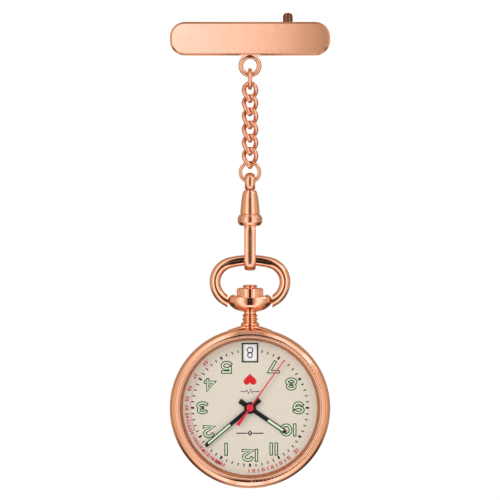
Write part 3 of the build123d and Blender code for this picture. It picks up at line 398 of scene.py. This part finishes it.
def new_piece(name, mesh_maker, body, finish_name, smooth=False):
    """Fill a mesh with mesh_maker(bm), in mm, and hang it on a body."""
    mesh = bpy.data.meshes.new(name)
    bm = bmesh.new()
    mesh_maker(bm)
    bmesh.ops.scale(bm, vec=(MM, MM, MM), verts=bm.verts)
    bmesh.ops.recalc_face_normals(bm, faces=bm.faces)
    for face in bm.faces:
        face.smooth = smooth
    bm.to_mesh(mesh)
    bm.free()
    piece = bpy.data.objects.new(name, mesh)
    bpy.context.scene.collection.objects.link(piece)
    piece.data.materials.append(FINISHES[finish_name].material)
    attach(piece, body)
    return piece


def arc(centre, radii, start, stop, steps=20):
    """Points on an ellipse from start to stop degrees, counter-clockwise if stop is larger."""
    points = []
    for index in range(steps + 1):
        angle = math.radians(start + (stop - start) * index / steps)
        points.append((centre[0] + radii[0] * math.cos(angle),
                       centre[1] + radii[1] * math.sin(angle)))
    return points


def loop(centre, radii, steps=32):
    """Points once round an ellipse."""
    return arc(centre, radii, 0, 360 - 360 / steps, steps - 1)


# each digit's strokes in a box from -0.5 to 0.5 both ways, and whether the stroke closes
NINE = [(loop((0, 0.22), (0.5, 0.28)), True),
        ([(0.5, 0.22)] + arc((0, -0.04), (0.5, 0.46), 0, -142), False)]
DIGITS = {
    "0": [(loop((0, 0), (0.5, 0.5)), True)],
    "1": [([(0, -0.5), (0, 0.5)], False)],
    "2": [(arc((0, 0.18), (0.47, 0.32), 160, -32) + [(-0.5, -0.5), (0.5, -0.5)], False)],
    "3": [(arc((-0.02, 0.25), (0.45, 0.25), 150, -90), False),
          (arc((-0.02, -0.25), (0.5, 0.25), 90, -150), False)],
    "4": [([(0.26, -0.5), (0.26, 0.5), (-0.5, -0.27), (0.5, -0.27)], False)],
    "5": [([(0.44, 0.5), (-0.42, 0.5), (-0.42, 0.04)]
           + arc((-0.02, -0.17), (0.5, 0.33), 132, -150), False)],
    "6": [([(-x, -z) for x, z in path], closed) for path, closed in NINE],
    "7": [([(-0.5, 0.5), (0.5, 0.5), (-0.14, -0.5)], False)],
    "8": [(loop((0, 0.25), (0.42, 0.25)), True), (loop((0, -0.24), (0.5, 0.26)), True)],
    "9": NINE,
}


SHARPEST = 0.55           # keeps the mitre of a sharp corner short


def ribbon(bm, path, closed, half_width, high=INK_HIGH, face_y=DIAL_Y):
    """Printed stroke along a path in the dial's plane, with square ends and mitred corners.

    It ends high mm in front of face_y."""
    points = [Vector(point) for point in path]
    count = len(points)
    slope = min(half_width / 4, high - PRINT_LIFT)
    profile = ((-half_width, PRINT_LIFT), (slope - half_width, high),
               (half_width - slope, high), (half_width, PRINT_LIFT))
    rings = []
    for index, point in enumerate(points):
        arriving = point - points[index - 1] if closed or index else points[1] - point
        leaving = points[(index + 1) % count] - point if closed or index < count - 1 else arriving
        arriving = arriving.normalized()
        leaving = leaving.normalized()
        along = (arriving + leaving).normalized()
        side = Vector((-along.y, along.x))
        mitre = 1 / max(side.dot(Vector((-arriving.y, arriving.x))), SHARPEST)
        place = point
        if not closed and index == 0:
            place = point - along * half_width
        if not closed and index == count - 1:
            place = point + along * half_width
        ring = []
        for offset, level in profile:
            spot = place + side * offset * mitre
            ring.append(bm.verts.new((spot.x, face_y - level, DIAL_Z + spot.y)))
        rings.append(ring)
    spans = count if closed else count - 1
    for index in range(spans):
        near = rings[index]
        far = rings[(index + 1) % count]
        for corner in range(4):
            following = (corner + 1) % 4
            bm.faces.new((near[corner], near[following], far[following], far[corner]))
    if not closed:
        bm.faces.new(rings[0])
        bm.faces.new(rings[-1])


def digit_strokes(text, size, gap, narrow=0.0):
    """Strokes of a number centred on the origin. narrow is how wide a 1 counts."""
    widths = [narrow if digit == "1" else size[0] for digit in text]
    start = -(sum(widths) + gap * (len(text) - 1)) / 2
    strokes = []
    for digit, width in zip(text, widths):
        middle = start + width / 2
        for path, closed in DIGITS[digit]:
            strokes.append(([(middle + x * size[0], z * size[1]) for x, z in path], closed))
        start += width + gap
    return strokes


def placed(strokes, radius, angle, turn):
    """Strokes turned by turn degrees clockwise and put at radius and angle on the dial.

    Angles go clockwise from the top, as the viewer sees the dial."""
    lean = math.radians(turn)
    where = math.radians(angle)
    moved = []
    for path, closed in strokes:
        moved.append(([(radius * math.sin(where) + x * math.cos(lean) + z * math.sin(lean),
                        radius * math.cos(where) - x * math.sin(lean) + z * math.cos(lean))
                       for x, z in path], closed))
    return moved


NUMERAL_SIZE = (1.68, 1.85)
NUMERAL_HALF = 0.335      # half the width of a numeral's stroke with its outline
NUMERAL_FILL = 0.155      # half the width of its fill
OUTLINE_HIGH = 0.022
FILL_HIGH = 0.055
# each numeral's radius, and the gap between its digits
NUMERAL_PLACES = {1: (9.25, 0), 2: (9.17, 0), 3: (9.23, 0), 4: (8.95, 0), 5: (9.05, 0),
                  7: (9.12, 0), 8: (9.2, 0), 9: (9.4, 0), 10: (8.55, 0.80),
                  11: (9.18, 0.98), 12: (9.17, 0.82)}


def numeral_strokes():
    """Strokes of the eleven hour numerals, in their places."""
    strokes = []
    for number, (radius, gap) in NUMERAL_PLACES.items():
        text = digit_strokes(str(number), NUMERAL_SIZE, gap)
        strokes += placed(text, radius, 180 + 30 * number, 180)
    return strokes


def numeral_outlines(bm):
    """Dark strokes of the numerals, which show as outlines round their fills."""
    for path, closed in numeral_strokes():
        ribbon(bm, path, closed, NUMERAL_HALF, OUTLINE_HIGH)


def numeral_fills(bm):
    """Luminous strokes on the dark ones."""
    for path, closed in numeral_strokes():
        ribbon(bm, path, closed, NUMERAL_FILL, FILL_HIGH)


def radial(bm, angle, inner, outer, half_width):
    """Short printed line along a radius of the dial."""
    where = math.radians(angle)
    ends = [(radius * math.sin(where), radius * math.cos(where))
            for radius in (inner + half_width, outer - half_width)]
    ribbon(bm, ends, False, half_width)


WINDOW_CLEAR = 12.0       # degrees each side of the date window with no minute line
TRACK_OUTER = 11.4
HOUR_MARK = (10.78, 0.2)  # inner end and half width
MINUTE_MARK = (10.84, 0.105)


def minute_track(bm):
    """Minute lines, every fifth one bolder."""
    for minute in range(60):
        angle = 6 * minute
        if min(angle, 360 - angle) < WINDOW_CLEAR:
            continue
        inner, half_width = MINUTE_MARK if minute % 5 else HOUR_MARK
        radial(bm, angle, inner, TRACK_OUTER, half_width)


PULSES = 15               # heartbeats counted before the scale is read
# beats in a minute that have a number, a line or a dot
SCALE_NUMBERS = (40, 45, 50, 55, 60, 65, 70, 75, 80, 90, 100, 110, 120, 140, 160, 180, 200)
SCALE_BETWEEN = (85, 95, 105, 115, 130, 150, 170, 190)
SCALE_DOTS = (*range(40, 80), *range(80, 121, 5), *range(130, 201, 10))
SCALE_R = 12.2            # radius of the scale's numbers and caption
# inner end, outer end and half width
SCALE_DOT = (11.42, 11.66, 0.05)
SCALE_LINE = (11.78, 12.5, 0.045)
SCALE_DIGIT = (0.32, 0.56)
SCALE_HALF = 0.075        # half the width of the numbers' strokes
PULSES_ANGLE = 133
PULSES_DIGIT = (0.36, 0.62)
PULSES_HALF = 0.085
CAPTION_START = 142.2
CAPTION_STEP = 4.3
CAPTION_COUNT = 10        # boxes and bars in turn
CAPTION_BAR = (11.86, 12.56, 0.1)
CAPTION_BOX = ((-0.2, -0.24), (0.2, -0.24), (0.2, 0.24), (-0.2, 0.24))
CAPTION_HALF = 0.088


def pulse_angle(rate):
    """Where the second hand stands after PULSES beats at rate beats in a minute."""
    return 180 + 6 * PULSES * 60 / rate


def on_scale(bm, strokes, angle, half_width):
    """Print strokes on the pulse scale, with their feet towards the hands."""
    for path, closed in placed(strokes, SCALE_R, angle, angle):
        ribbon(bm, path, closed, half_width)


def pulse_scale(bm):
    """Heart-rate scale for fifteen beats, with a plain row of boxes and bars for its caption."""
    for rate in SCALE_NUMBERS:
        strokes = digit_strokes(str(rate), SCALE_DIGIT, 0.24, 0.05)
        on_scale(bm, strokes, pulse_angle(rate), SCALE_HALF)
    for rate in SCALE_DOTS:
        radial(bm, pulse_angle(rate), *SCALE_DOT)
    for rate in SCALE_BETWEEN:
        radial(bm, pulse_angle(rate), *SCALE_LINE)
    on_scale(bm, digit_strokes(str(PULSES), PULSES_DIGIT, 0.3, 0.08), PULSES_ANGLE, PULSES_HALF)
    for index in range(CAPTION_COUNT):
        angle = CAPTION_START + CAPTION_STEP * index
        if index % 2:
            radial(bm, angle, *CAPTION_BAR)
        else:
            on_scale(bm, [(CAPTION_BOX, True)], angle, CAPTION_HALF)


def join_rings(bm, rings):
    """Skin a row of rings and cap both ends."""
    for near, far in zip(rings, rings[1:]):
        for side in range(len(near)):
            following = (side + 1) % len(near)
            bm.faces.new((near[side], near[following], far[following], far[side]))
    for end in (rings[0], rings[-1]):
        bm.faces.new(end)


HEART_UP = 5.6            # how far the heart stands above the hands' axis
HEART_WIDTH = 2.55
HEART_STEPS = 48
HEART_CURVE_WIDTH = 32    # width of the heart curve as its formula gives it
HEART_CURVE_SHIFT = 2.5   # and how far its middle lies below zero
# share of the full size, and height above the dial
HEART_LAYERS = ((1.0, PRINT_LIFT), (0.97, 0.03), (0.8, 0.06), (0.45, 0.08))


def heart(bm):
    """Small domed heart, upside down like the rest of the dial."""
    rim = []
    for index in range(HEART_STEPS):
        turn = 2 * math.pi * index / HEART_STEPS
        across = HEART_CURVE_WIDTH / 2 * math.sin(turn) ** 3
        up = (13 * math.cos(turn) - 5 * math.cos(2 * turn) - 2 * math.cos(3 * turn)
              - math.cos(4 * turn))
        rim.append(Vector((-across, -up - HEART_CURVE_SHIFT)) * (HEART_WIDTH / HEART_CURVE_WIDTH))
    rings = []
    for share, level in HEART_LAYERS:
        rings.append([bm.verts.new((point.x * share, DIAL_Y - level,
                                    DIAL_Z + HEART_UP + point.y * share)) for point in rim])
    join_rings(bm, rings)


ORNAMENT_UP = -4.9
ORNAMENT_REACH = 2.5      # from the middle to the line's ends
ORNAMENT_GAP = 0.65       # from the middle to where the line stops beside the diamond
ORNAMENT_HALF = 0.11      # half the width of its lines
DIAMOND = ((0, 0.4), (0.36, 0), (0, -0.4), (-0.36, 0))
BEAT_UP = 3.15
BEAT_HALF = 0.07
BEAT = ((-1.8, 0), (-0.85, 0), (-0.6, 0.3), (-0.25, -0.42), (0.1, 0.5), (0.4, -0.2), (0.6, 0),
        (1.8, 0))
DATE_R = 10.66            # from the hands' axis to the middle of the date window
WINDOW_SIZE = (2.6, 3.2)
WINDOW_FRAME = 0.3        # width of the window's border
WINDOW_RISE = 0.05        # the window's frame stands proud of the dial


def dial_ornament(bm):
    """Plain line with a diamond in the middle below the hands, and a heartbeat line above."""
    for low, high in ((-ORNAMENT_REACH, -ORNAMENT_GAP), (ORNAMENT_GAP, ORNAMENT_REACH)):
        ribbon(bm, [(low, ORNAMENT_UP), (high, ORNAMENT_UP)], False, ORNAMENT_HALF)
    ribbon(bm, [(x, ORNAMENT_UP + z) for x, z in DIAMOND], True, ORNAMENT_HALF)
    ribbon(bm, [(x, BEAT_UP + z) for x, z in BEAT], False, BEAT_HALF)


def date_frame(bm):
    """Dark printed border on the raised frame of the date window."""
    half_wide = WINDOW_SIZE[0] / 2 + WINDOW_FRAME / 2
    half_tall = WINDOW_SIZE[1] / 2 + WINDOW_FRAME / 2
    corners = [(x, DATE_R + z) for x, z in ((-half_wide, -half_tall), (half_wide, -half_tall),
                                            (half_wide, half_tall), (-half_wide, half_tall))]
    ribbon(bm, corners, True, WINDOW_FRAME / 2, WINDOW_RISE + 0.03)


DATE_SHOWN = 8
DAYS = 31
DATE_TALL = 2.0
DATE_WIDE = (1.05, 0.62)  # width of a digit standing alone, and of one of two
DATE_HALF = 0.12          # half the width of a stroke
DATE_HIGH = 0.012


def date_numbers(bm):
    """The days on the date ring, with DATE_SHOWN behind the window at rest."""
    for day in range(1, DAYS + 1):
        angle = (day - DATE_SHOWN) * 360 / DAYS
        text = str(day)
        strokes = digit_strokes(text, (DATE_WIDE[len(text) - 1], DATE_TALL), 0.34, 0.1)
        for path, closed in placed(strokes, DATE_R, angle, angle + 180):
            ribbon(bm, path, closed, DATE_HALF, DATE_HIGH, RING_Y)


new_piece("numeral_outlines", numeral_outlines, "case", "ink_dark")
new_piece("numeral_lume", numeral_fills, "case", "hand_lume")
new_piece("minute_track", minute_track, "case", "ink_black")
new_piece("pulse_scale", pulse_scale, "case", "ink_red")
new_piece("dial_heart", heart, "case", "heart_red", smooth=True)
new_piece("dial_ornament", dial_ornament, "case", "ink_black")
new_piece("date_frame", date_frame, "case", "ink_black")
new_piece("date_numbers", date_numbers, "date", "ink_slate")

# ---- chain --------------------------------------------------------------------------------

LINKS = 6
LINK_WIRE = 0.44          # radius of the wire
LINK_HALF_WIDTH = 1.22
LINK_HALF_HEIGHT = 1.73
LINK_SQUARENESS = 2.4     # 2 is an ellipse, and more is squarer
LINK_TWIST = math.radians(60)
LINK_TURN = math.radians(25)
LINK_TOP_Z = -11.55       # middle of the first link
LINK_PITCH = 2.55
CHAIN_Y = -2.3


def link_point(turn):
    """Middle line of a curb link at turn radians, twisted about the chain's line."""
    power = 2 / LINK_SQUARENESS
    across = LINK_HALF_WIDTH * math.copysign(abs(math.cos(turn)) ** power, math.cos(turn))
    height = LINK_HALF_HEIGHT * math.copysign(abs(math.sin(turn)) ** power, math.sin(turn))
    lean = LINK_TURN - LINK_TWIST * height / LINK_HALF_HEIGHT
    return Vector((across * math.cos(lean), across * math.sin(lean), height))


def link_path(steps=96):
    """Evenly spaced points round the link."""
    fine = 8 * steps
    raw = [link_point(2 * math.pi * (index + 0.5) / fine) for index in range(fine)]
    lengths = [0.0]
    for index in range(len(raw)):
        lengths.append(lengths[-1] + (raw[(index + 1) % len(raw)] - raw[index]).length)
    path = []
    index = 0
    for step in range(steps):
        target = lengths[-1] * step / steps
        while lengths[index + 1] < target:
            index += 1
        share = (target - lengths[index]) / (lengths[index + 1] - lengths[index])
        path.append(raw[index].lerp(raw[(index + 1) % len(raw)], share))
    return path


def tube(bm, path, radius, sides=20):
    """Round wire along a closed path that turns round the chain's line."""
    count = len(path)
    rings = []
    for index, point in enumerate(path):
        along = (path[(index + 1) % count] - path[index - 1]).normalized()
        outward = Vector((-point.x, -point.y, -point.z)).cross(along).cross(along).normalized()
        beside = along.cross(outward)
        ring = []
        for side in range(sides):
            angle = 2 * math.pi * side / sides
            ring.append(bm.verts.new(point + outward * radius * math.cos(angle)
                                     + beside * radius * math.sin(angle)))
        rings.append(ring)
    for index in range(count):
        near = rings[index]
        far = rings[(index + 1) % count]
        for side in range(sides):
            following = (side + 1) % sides
            bm.faces.new((near[side], near[following], far[following], far[side]))


def make_link(number):
    """Curb link with more sides than its CAD node, which it replaces."""
    def build(bm):
        tube(bm, link_path(), LINK_WIRE)
        shift = Vector((0, CHAIN_Y, LINK_TOP_Z - (number - 1) * LINK_PITCH))
        bmesh.ops.translate(bm, vec=shift, verts=bm.verts)

    piece = new_piece(f"curb_link_{number}", build, f"link_{number}", "rose_gold",
                      smooth=True)
    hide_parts(f"chain_link_{number}")


for number in range(1, LINKS + 1):
    make_link(number)

# ---- bow ----------------------------------------------------------------------------------

BOW_TUBE_R = 1.06
BOW_TOP_Z = -44.075       # middle of the bar at the top
BOW_Y = -2.3
BOW_ARCS = ((16.0, 14.0), (3.83, 86.0), (4.15, 58.0))   # radius and angle, from the top down
BOW_END_X = 4.34          # the ends are cut flat here
BOW_PIVOT_Z = -52.0
BOW_STUB_R = 0.5
BOW_STUB = (3.45, 4.8)    # where the pivot stub starts and stops
BOW_STEP = math.radians(1.0)
BOW_SIDES = 48
BOW_STUB_SIDES = 24
BOW_SHARP = math.radians(40)     # edges sharper than this stay sharp


def bow_half():
    """Middle points and headings of the right half of the bow, from the top down."""
    x, z, heading = 0.0, BOW_TOP_Z, 0.0
    found = []
    for radius, angle in BOW_ARCS:
        steps = round(math.radians(angle) / BOW_STEP)
        turn = math.radians(angle) / steps
        chord = 2 * radius * math.sin(turn / 2)
        for _ in range(steps):
            found.append((x, z, heading))
            x += chord * math.cos(heading - turn / 2)
            z += chord * math.sin(heading - turn / 2)
            heading -= turn
    reach = BOW_TUBE_R * abs(math.sin(found[-1][2]))
    return [(x, z, heading) for x, z, heading in found
            if math.cos(heading) > 0 or x > BOW_END_X + reach]


def round_ring(bm, centre, across, beside, radius, sides):
    """Vertices of a circle round centre."""
    ring = []
    for side in range(sides):
        angle = 2 * math.pi * side / sides
        ring.append(bm.verts.new(centre + across * radius * math.cos(angle)
                                 + beside * radius * math.sin(angle)))
    return ring


def bow(bm):
    """Open oval of round bar, with its ends cut flat beside the collar and their stubs."""
    right = bow_half()
    left = [(-x, z, -heading) for x, z, heading in right[:0:-1]]
    depth = Vector((0, 1, 0))
    rings = []
    for x, z, heading in left + right:
        upward = Vector((-math.sin(heading), 0, math.cos(heading)))
        rings.append(round_ring(bm, Vector((x, BOW_Y, z)), upward, depth, BOW_TUBE_R, BOW_SIDES))
    for ring, side, heading in ((rings[0], -1, left[0][2]), (rings[-1], 1, right[-1][2])):
        slope = math.tan(heading)
        for vertex in ring:
            gap = side * BOW_END_X - vertex.co.x
            vertex.co.x += gap
            vertex.co.z += gap * slope
    join_rings(bm, rings)
    for side in (-1, 1):
        ends = [round_ring(bm, Vector((side * x, BOW_Y, BOW_PIVOT_Z)), Vector((0, 0, 1)), depth,
                           BOW_STUB_R, BOW_STUB_SIDES) for x in BOW_STUB]
        join_rings(bm, ends)


bow_piece = new_piece("bow_wire", bow, "bow_body", "rose_gold", smooth=True)
bow_piece.data.set_sharp_from_angle(angle=BOW_SHARP)
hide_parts("bow")

# ---- studio -------------------------------------------------------------------------------

# lengths are in metres from here on
FOCUS = Vector((0, -0.004, -0.0421))
LENS = 250.0              # the lens and the sensor are in mm
SENSOR = 36.0
VIEW_WIDTH = 0.09655      # width of the view at the object
WORLD_BRIGHTNESS = 1.02
TENT_R = 3.0
FLOOR_R = 0.9
FLOOR_Z = -0.16
GLOW_RANGE = 3.0          # a ramp's colours stay under 1, so they are scaled by this


def toward(azimuth, elevation):
    """Direction from the object. Azimuth 0 is behind the camera, 90 to its right."""
    across = math.radians(azimuth)
    up = math.radians(elevation)
    return Vector((math.sin(across) * math.cos(up), -math.cos(across) * math.cos(up), math.sin(up)))


def only_reflected(thing):
    """Stage thing that shows in reflections and nowhere else."""
    thing.visible_camera = False
    thing.visible_diffuse = False
    thing.visible_shadow = False
    thing.visible_transmission = False
    thing.visible_volume_scatter = False


def tone(brightness):
    """Colour of a studio surface: warm where it is dark, cool where it is bright."""
    neutral = min(brightness, 1.0)
    extra = max(brightness - 1, 0)
    green = 0.74 + 0.19 * neutral + 0.13 * extra
    blue = 0.55 + 0.29 * neutral + 0.6 * extra
    return (brightness / GLOW_RANGE, brightness * green / GLOW_RANGE,
            brightness * blue / GLOW_RANGE, 1)


class Glow:
    """Emission material, with short calls for the nodes that pattern it."""

    def __init__(self, name):
        self.material = bpy.data.materials.new(name)
        self.material.use_nodes = True
        self.material.cycles.emission_sampling = "NONE"
        self.tree = self.material.node_tree
        self.tree.nodes.clear()
        self.emission = self.tree.nodes.new("ShaderNodeEmission")
        self.emission.inputs["Strength"].default_value = GLOW_RANGE
        output = self.tree.nodes.new("ShaderNodeOutputMaterial")
        self.tree.links.new(self.emission.outputs[0], output.inputs["Surface"])
        coordinates = self.tree.nodes.new("ShaderNodeTexCoord")
        self.split = self.tree.nodes.new("ShaderNodeSeparateXYZ")
        self.tree.links.new(coordinates.outputs["Object"], self.split.inputs[0])

    def sums(self, operation, *terms):
        """Maths node of sockets and plain numbers."""
        node = self.tree.nodes.new("ShaderNodeMath")
        node.operation = operation
        for index, term in enumerate(terms):
            if isinstance(term, bpy.types.NodeSocket):
                self.tree.links.new(term, node.inputs[index])
            else:
                node.inputs[index].default_value = term
        return node.outputs[0]

    def share(self, source, start, stop):
        """0 at start and 1 at stop, smoothly."""
        node = self.tree.nodes.new("ShaderNodeMapRange")
        node.interpolation_type = "SMOOTHSTEP"
        node.inputs["From Min"].default_value = start
        node.inputs["From Max"].default_value = stop
        self.tree.links.new(source, node.inputs["Value"])
        return node.outputs["Result"]

    def tones(self, source, first, last, stops):
        """Tone that follows source through (value, brightness) stops."""
        scaled = self.tree.nodes.new("ShaderNodeMapRange")
        scaled.inputs["From Min"].default_value = first
        scaled.inputs["From Max"].default_value = last
        self.tree.links.new(source, scaled.inputs["Value"])
        ramp = self.tree.nodes.new("ShaderNodeValToRGB")
        elements = ramp.color_ramp.elements
        for element, (value, brightness) in zip((elements[0], elements[1]), (stops[0], stops[-1])):
            element.position = (value - first) / (last - first)
            element.color = tone(brightness)
        for value, brightness in stops[1:-1]:
            elements.new((value - first) / (last - first)).color = tone(brightness)
        self.tree.links.new(scaled.outputs["Result"], ramp.inputs["Fac"])
        return ramp.outputs["Color"]

    def blend(self, factor, low, high=None):
        """Colour from low to high, or to a flag's near black."""
        node = self.tree.nodes.new("ShaderNodeMixRGB")
        node.inputs["Color2"].default_value = tone(FLAG_BRIGHTNESS)
        self.tree.links.new(factor, node.inputs["Fac"])
        self.tree.links.new(low, node.inputs["Color1"])
        if high is not None:
            self.tree.links.new(high, node.inputs["Color2"])
        return node.outputs["Color"]


# brightness round the object, by degrees from the line behind the camera
ROUND = ((0, 0.3), (12, 0.45), (20, 0.9), (33, 1.75), (46, 1.45), (60, 0.88), (76, 0.7),
         (90, 0.78), (106, 0.6), (131, 0.5), (158, 0.52), (180, 0.8))
# brightness of the narrow strip behind the camera, by elevation
STRIP = ((-90, 0.3), (-80, 1.0), (-72, 1.6), (-60, 1.5), (-51, 0.05), (-6, 0.03), (53, 0.03),
         (61, 0.8), (90, 0.7))
STRIP_EDGE = (0.11, 0.2)  # sine of the angle to the side where the strip ends
STRIP_BACK = (-0.05, 0.05)     # and of the angle past the object where it stops
# how the rest dims towards the floor and the ceiling
HEIGHT = ((-90, 0.5), (-62, 0.95), (-25, 0.95), (0, 1.0), (35, 1.0), (60, 0.85), (90, 0.7))
# dark patches, the same on both sides: azimuth, elevation, and degrees from the middle where
# the patch starts and where it is full
FLAGS = ((108, -34, 24, 11), (143, -36, 21, 11))
FLAG_BRIGHTNESS = 0.09


def make_tent():
    """Large ball round the studio, seen only in reflections, bright and dark like softboxes."""
    mesh = bpy.data.meshes.new("tent")
    bm = bmesh.new()
    bmesh.ops.create_icosphere(bm, subdivisions=4, radius=TENT_R)
    bm.to_mesh(mesh)
    bm.free()
    tent = bpy.data.objects.new("tent", mesh)
    tent.location = FOCUS
    bpy.context.scene.collection.objects.link(tent)
    glow = Glow("tent")
    east, north, up = (glow.sums("DIVIDE", socket, TENT_R) for socket in glow.split.outputs)
    aside = glow.sums("ABSOLUTE", east)
    azimuth = glow.sums("DEGREES", glow.sums("ARCTAN2", aside, glow.sums("MULTIPLY", north, -1)))
    elevation = glow.sums("DEGREES", glow.sums("ARCSINE", up))
    around = glow.tones(azimuth, 0, 180, ROUND)
    strip = glow.tones(elevation, -90, 90, STRIP)
    height = glow.tones(elevation, -90, 90, HEIGHT)
    dimmed = glow.tree.nodes.new("ShaderNodeVectorMath")
    dimmed.operation = "MULTIPLY"
    glow.tree.links.new(around, dimmed.inputs[0])
    glow.tree.links.new(height, dimmed.inputs[1])
    doubled = glow.tree.nodes.new("ShaderNodeVectorMath")
    doubled.operation = "SCALE"
    doubled.inputs["Scale"].default_value = GLOW_RANGE
    glow.tree.links.new(dimmed.outputs["Vector"], doubled.inputs[0])
    flagged = doubled.outputs["Vector"]
    for flag_azimuth, flag_elevation, *spread in FLAGS:
        flag = toward(flag_azimuth, flag_elevation)
        closeness = glow.sums("MULTIPLY_ADD", aside, flag.x, glow.sums(
            "MULTIPLY_ADD", north, flag.y, glow.sums("MULTIPLY", up, flag.z)))
        start, full = (math.cos(math.radians(angle)) for angle in spread)
        flagged = glow.blend(glow.share(closeness, start, full), flagged)
    outside = glow.sums("MAXIMUM", glow.share(aside, *STRIP_EDGE),
                        glow.share(north, *STRIP_BACK))
    glow.tree.links.new(glow.blend(outside, strip, flagged), glow.emission.inputs["Color"])
    tent.data.materials.append(glow.material)
    only_reflected(tent)


def make_card(name, azimuth, elevation, distance, size, stops):
    """Rectangular panel whose brightness follows stops from its left to its right side."""
    wide, tall = size[0] / 2, size[1] / 2
    mesh = bpy.data.meshes.new(name)
    mesh.from_pydata([(-wide, -tall, 0), (wide, -tall, 0), (wide, tall, 0), (-wide, tall, 0)],
                     [], [(0, 1, 2, 3)])
    card = bpy.data.objects.new(name, mesh)
    bpy.context.scene.collection.objects.link(card)
    direction = toward(azimuth, elevation)
    card.matrix_world = (Matrix.Translation(FOCUS + direction * distance)
                         @ direction.to_track_quat("Z", "Y").to_matrix().to_4x4())
    glow = Glow(name)
    glow.tree.links.new(glow.tones(glow.split.outputs[0], -wide, wide, stops),
                        glow.emission.inputs["Color"])
    card.data.materials.append(glow.material)
    only_reflected(card)


def make_floor():
    """Pale disc well below the object, not seen in its reflections."""
    mesh = bpy.data.meshes.new("floor")
    bm = bmesh.new()
    bmesh.ops.create_circle(bm, cap_ends=True, segments=96, radius=FLOOR_R)
    bm.to_mesh(mesh)
    bm.free()
    floor = bpy.data.objects.new("floor", mesh)
    floor.location = (0, 0, FLOOR_Z)
    floor.visible_glossy = False
    bpy.context.scene.collection.objects.link(floor)
    pale = Finish("studio_floor", (0.95, 0.95, 0.945), 0.8)
    pale.colour(pale.noise(0.02, 2), (0.945, 0.945, 0.94), (0.955, 0.955, 0.95))
    floor.data.materials.append(pale.material)


def make_world():
    """Even white light from all round."""
    world = bpy.data.worlds.new("studio")
    world.use_nodes = True
    background = world.node_tree.nodes["Background"]
    background.inputs["Color"].default_value = (1, 1, 1, 1)
    background.inputs["Strength"].default_value = WORLD_BRIGHTNESS
    bpy.context.scene.world = world


def make_lamp(name, azimuth, elevation, distance, size, power):
    """Round lamp of power watts that shines on the object and isn't seen in reflections."""
    lamp = bpy.data.lights.new(name, "AREA")
    lamp.shape = "DISK"
    lamp.size = size
    lamp.energy = power
    holder = bpy.data.objects.new(name, lamp)
    bpy.context.scene.collection.objects.link(holder)
    direction = toward(azimuth, elevation)
    holder.location = FOCUS + direction * distance
    holder.rotation_mode = "QUATERNION"
    holder.rotation_quaternion = direction.to_track_quat("Z", "Y")
    holder.visible_camera = False
    holder.visible_glossy = False


def make_camera():
    """Long lens straight in front of the object."""
    camera = bpy.data.objects.new("camera", bpy.data.cameras.new("camera"))
    bpy.context.scene.collection.objects.link(camera)
    camera.data.lens = LENS
    camera.data.sensor_width = SENSOR
    distance = VIEW_WIDTH * LENS / SENSOR
    camera.location = FOCUS + Vector((0, -distance, 0))
    camera.rotation_euler = (math.pi / 2, 0, 0)
    bpy.context.scene.camera = camera


# what the brooch bar mirrors, bright on the left and dark on the right
BAR_STOPS = ((-0.12, 1.6), (-0.073, 1.55), (0.0, 1.3), (0.04, 0.95), (0.073, 0.5), (0.12, 0.3))

make_world()
make_tent()
make_floor()
make_lamp("key", azimuth=-35, elevation=35, distance=0.8, size=0.5, power=2.0)
make_card("bar_card", azimuth=0, elevation=4.55, distance=2.5, size=(0.3, 0.09), stops=BAR_STOPS)
make_card("high_box", azimuth=68, elevation=36, distance=1.1, size=(0.5, 0.3),
          stops=((-0.25, 1.7), (0.25, 1.7)))
make_camera()
bpy.context.scene.view_settings.view_transform = "Standard"
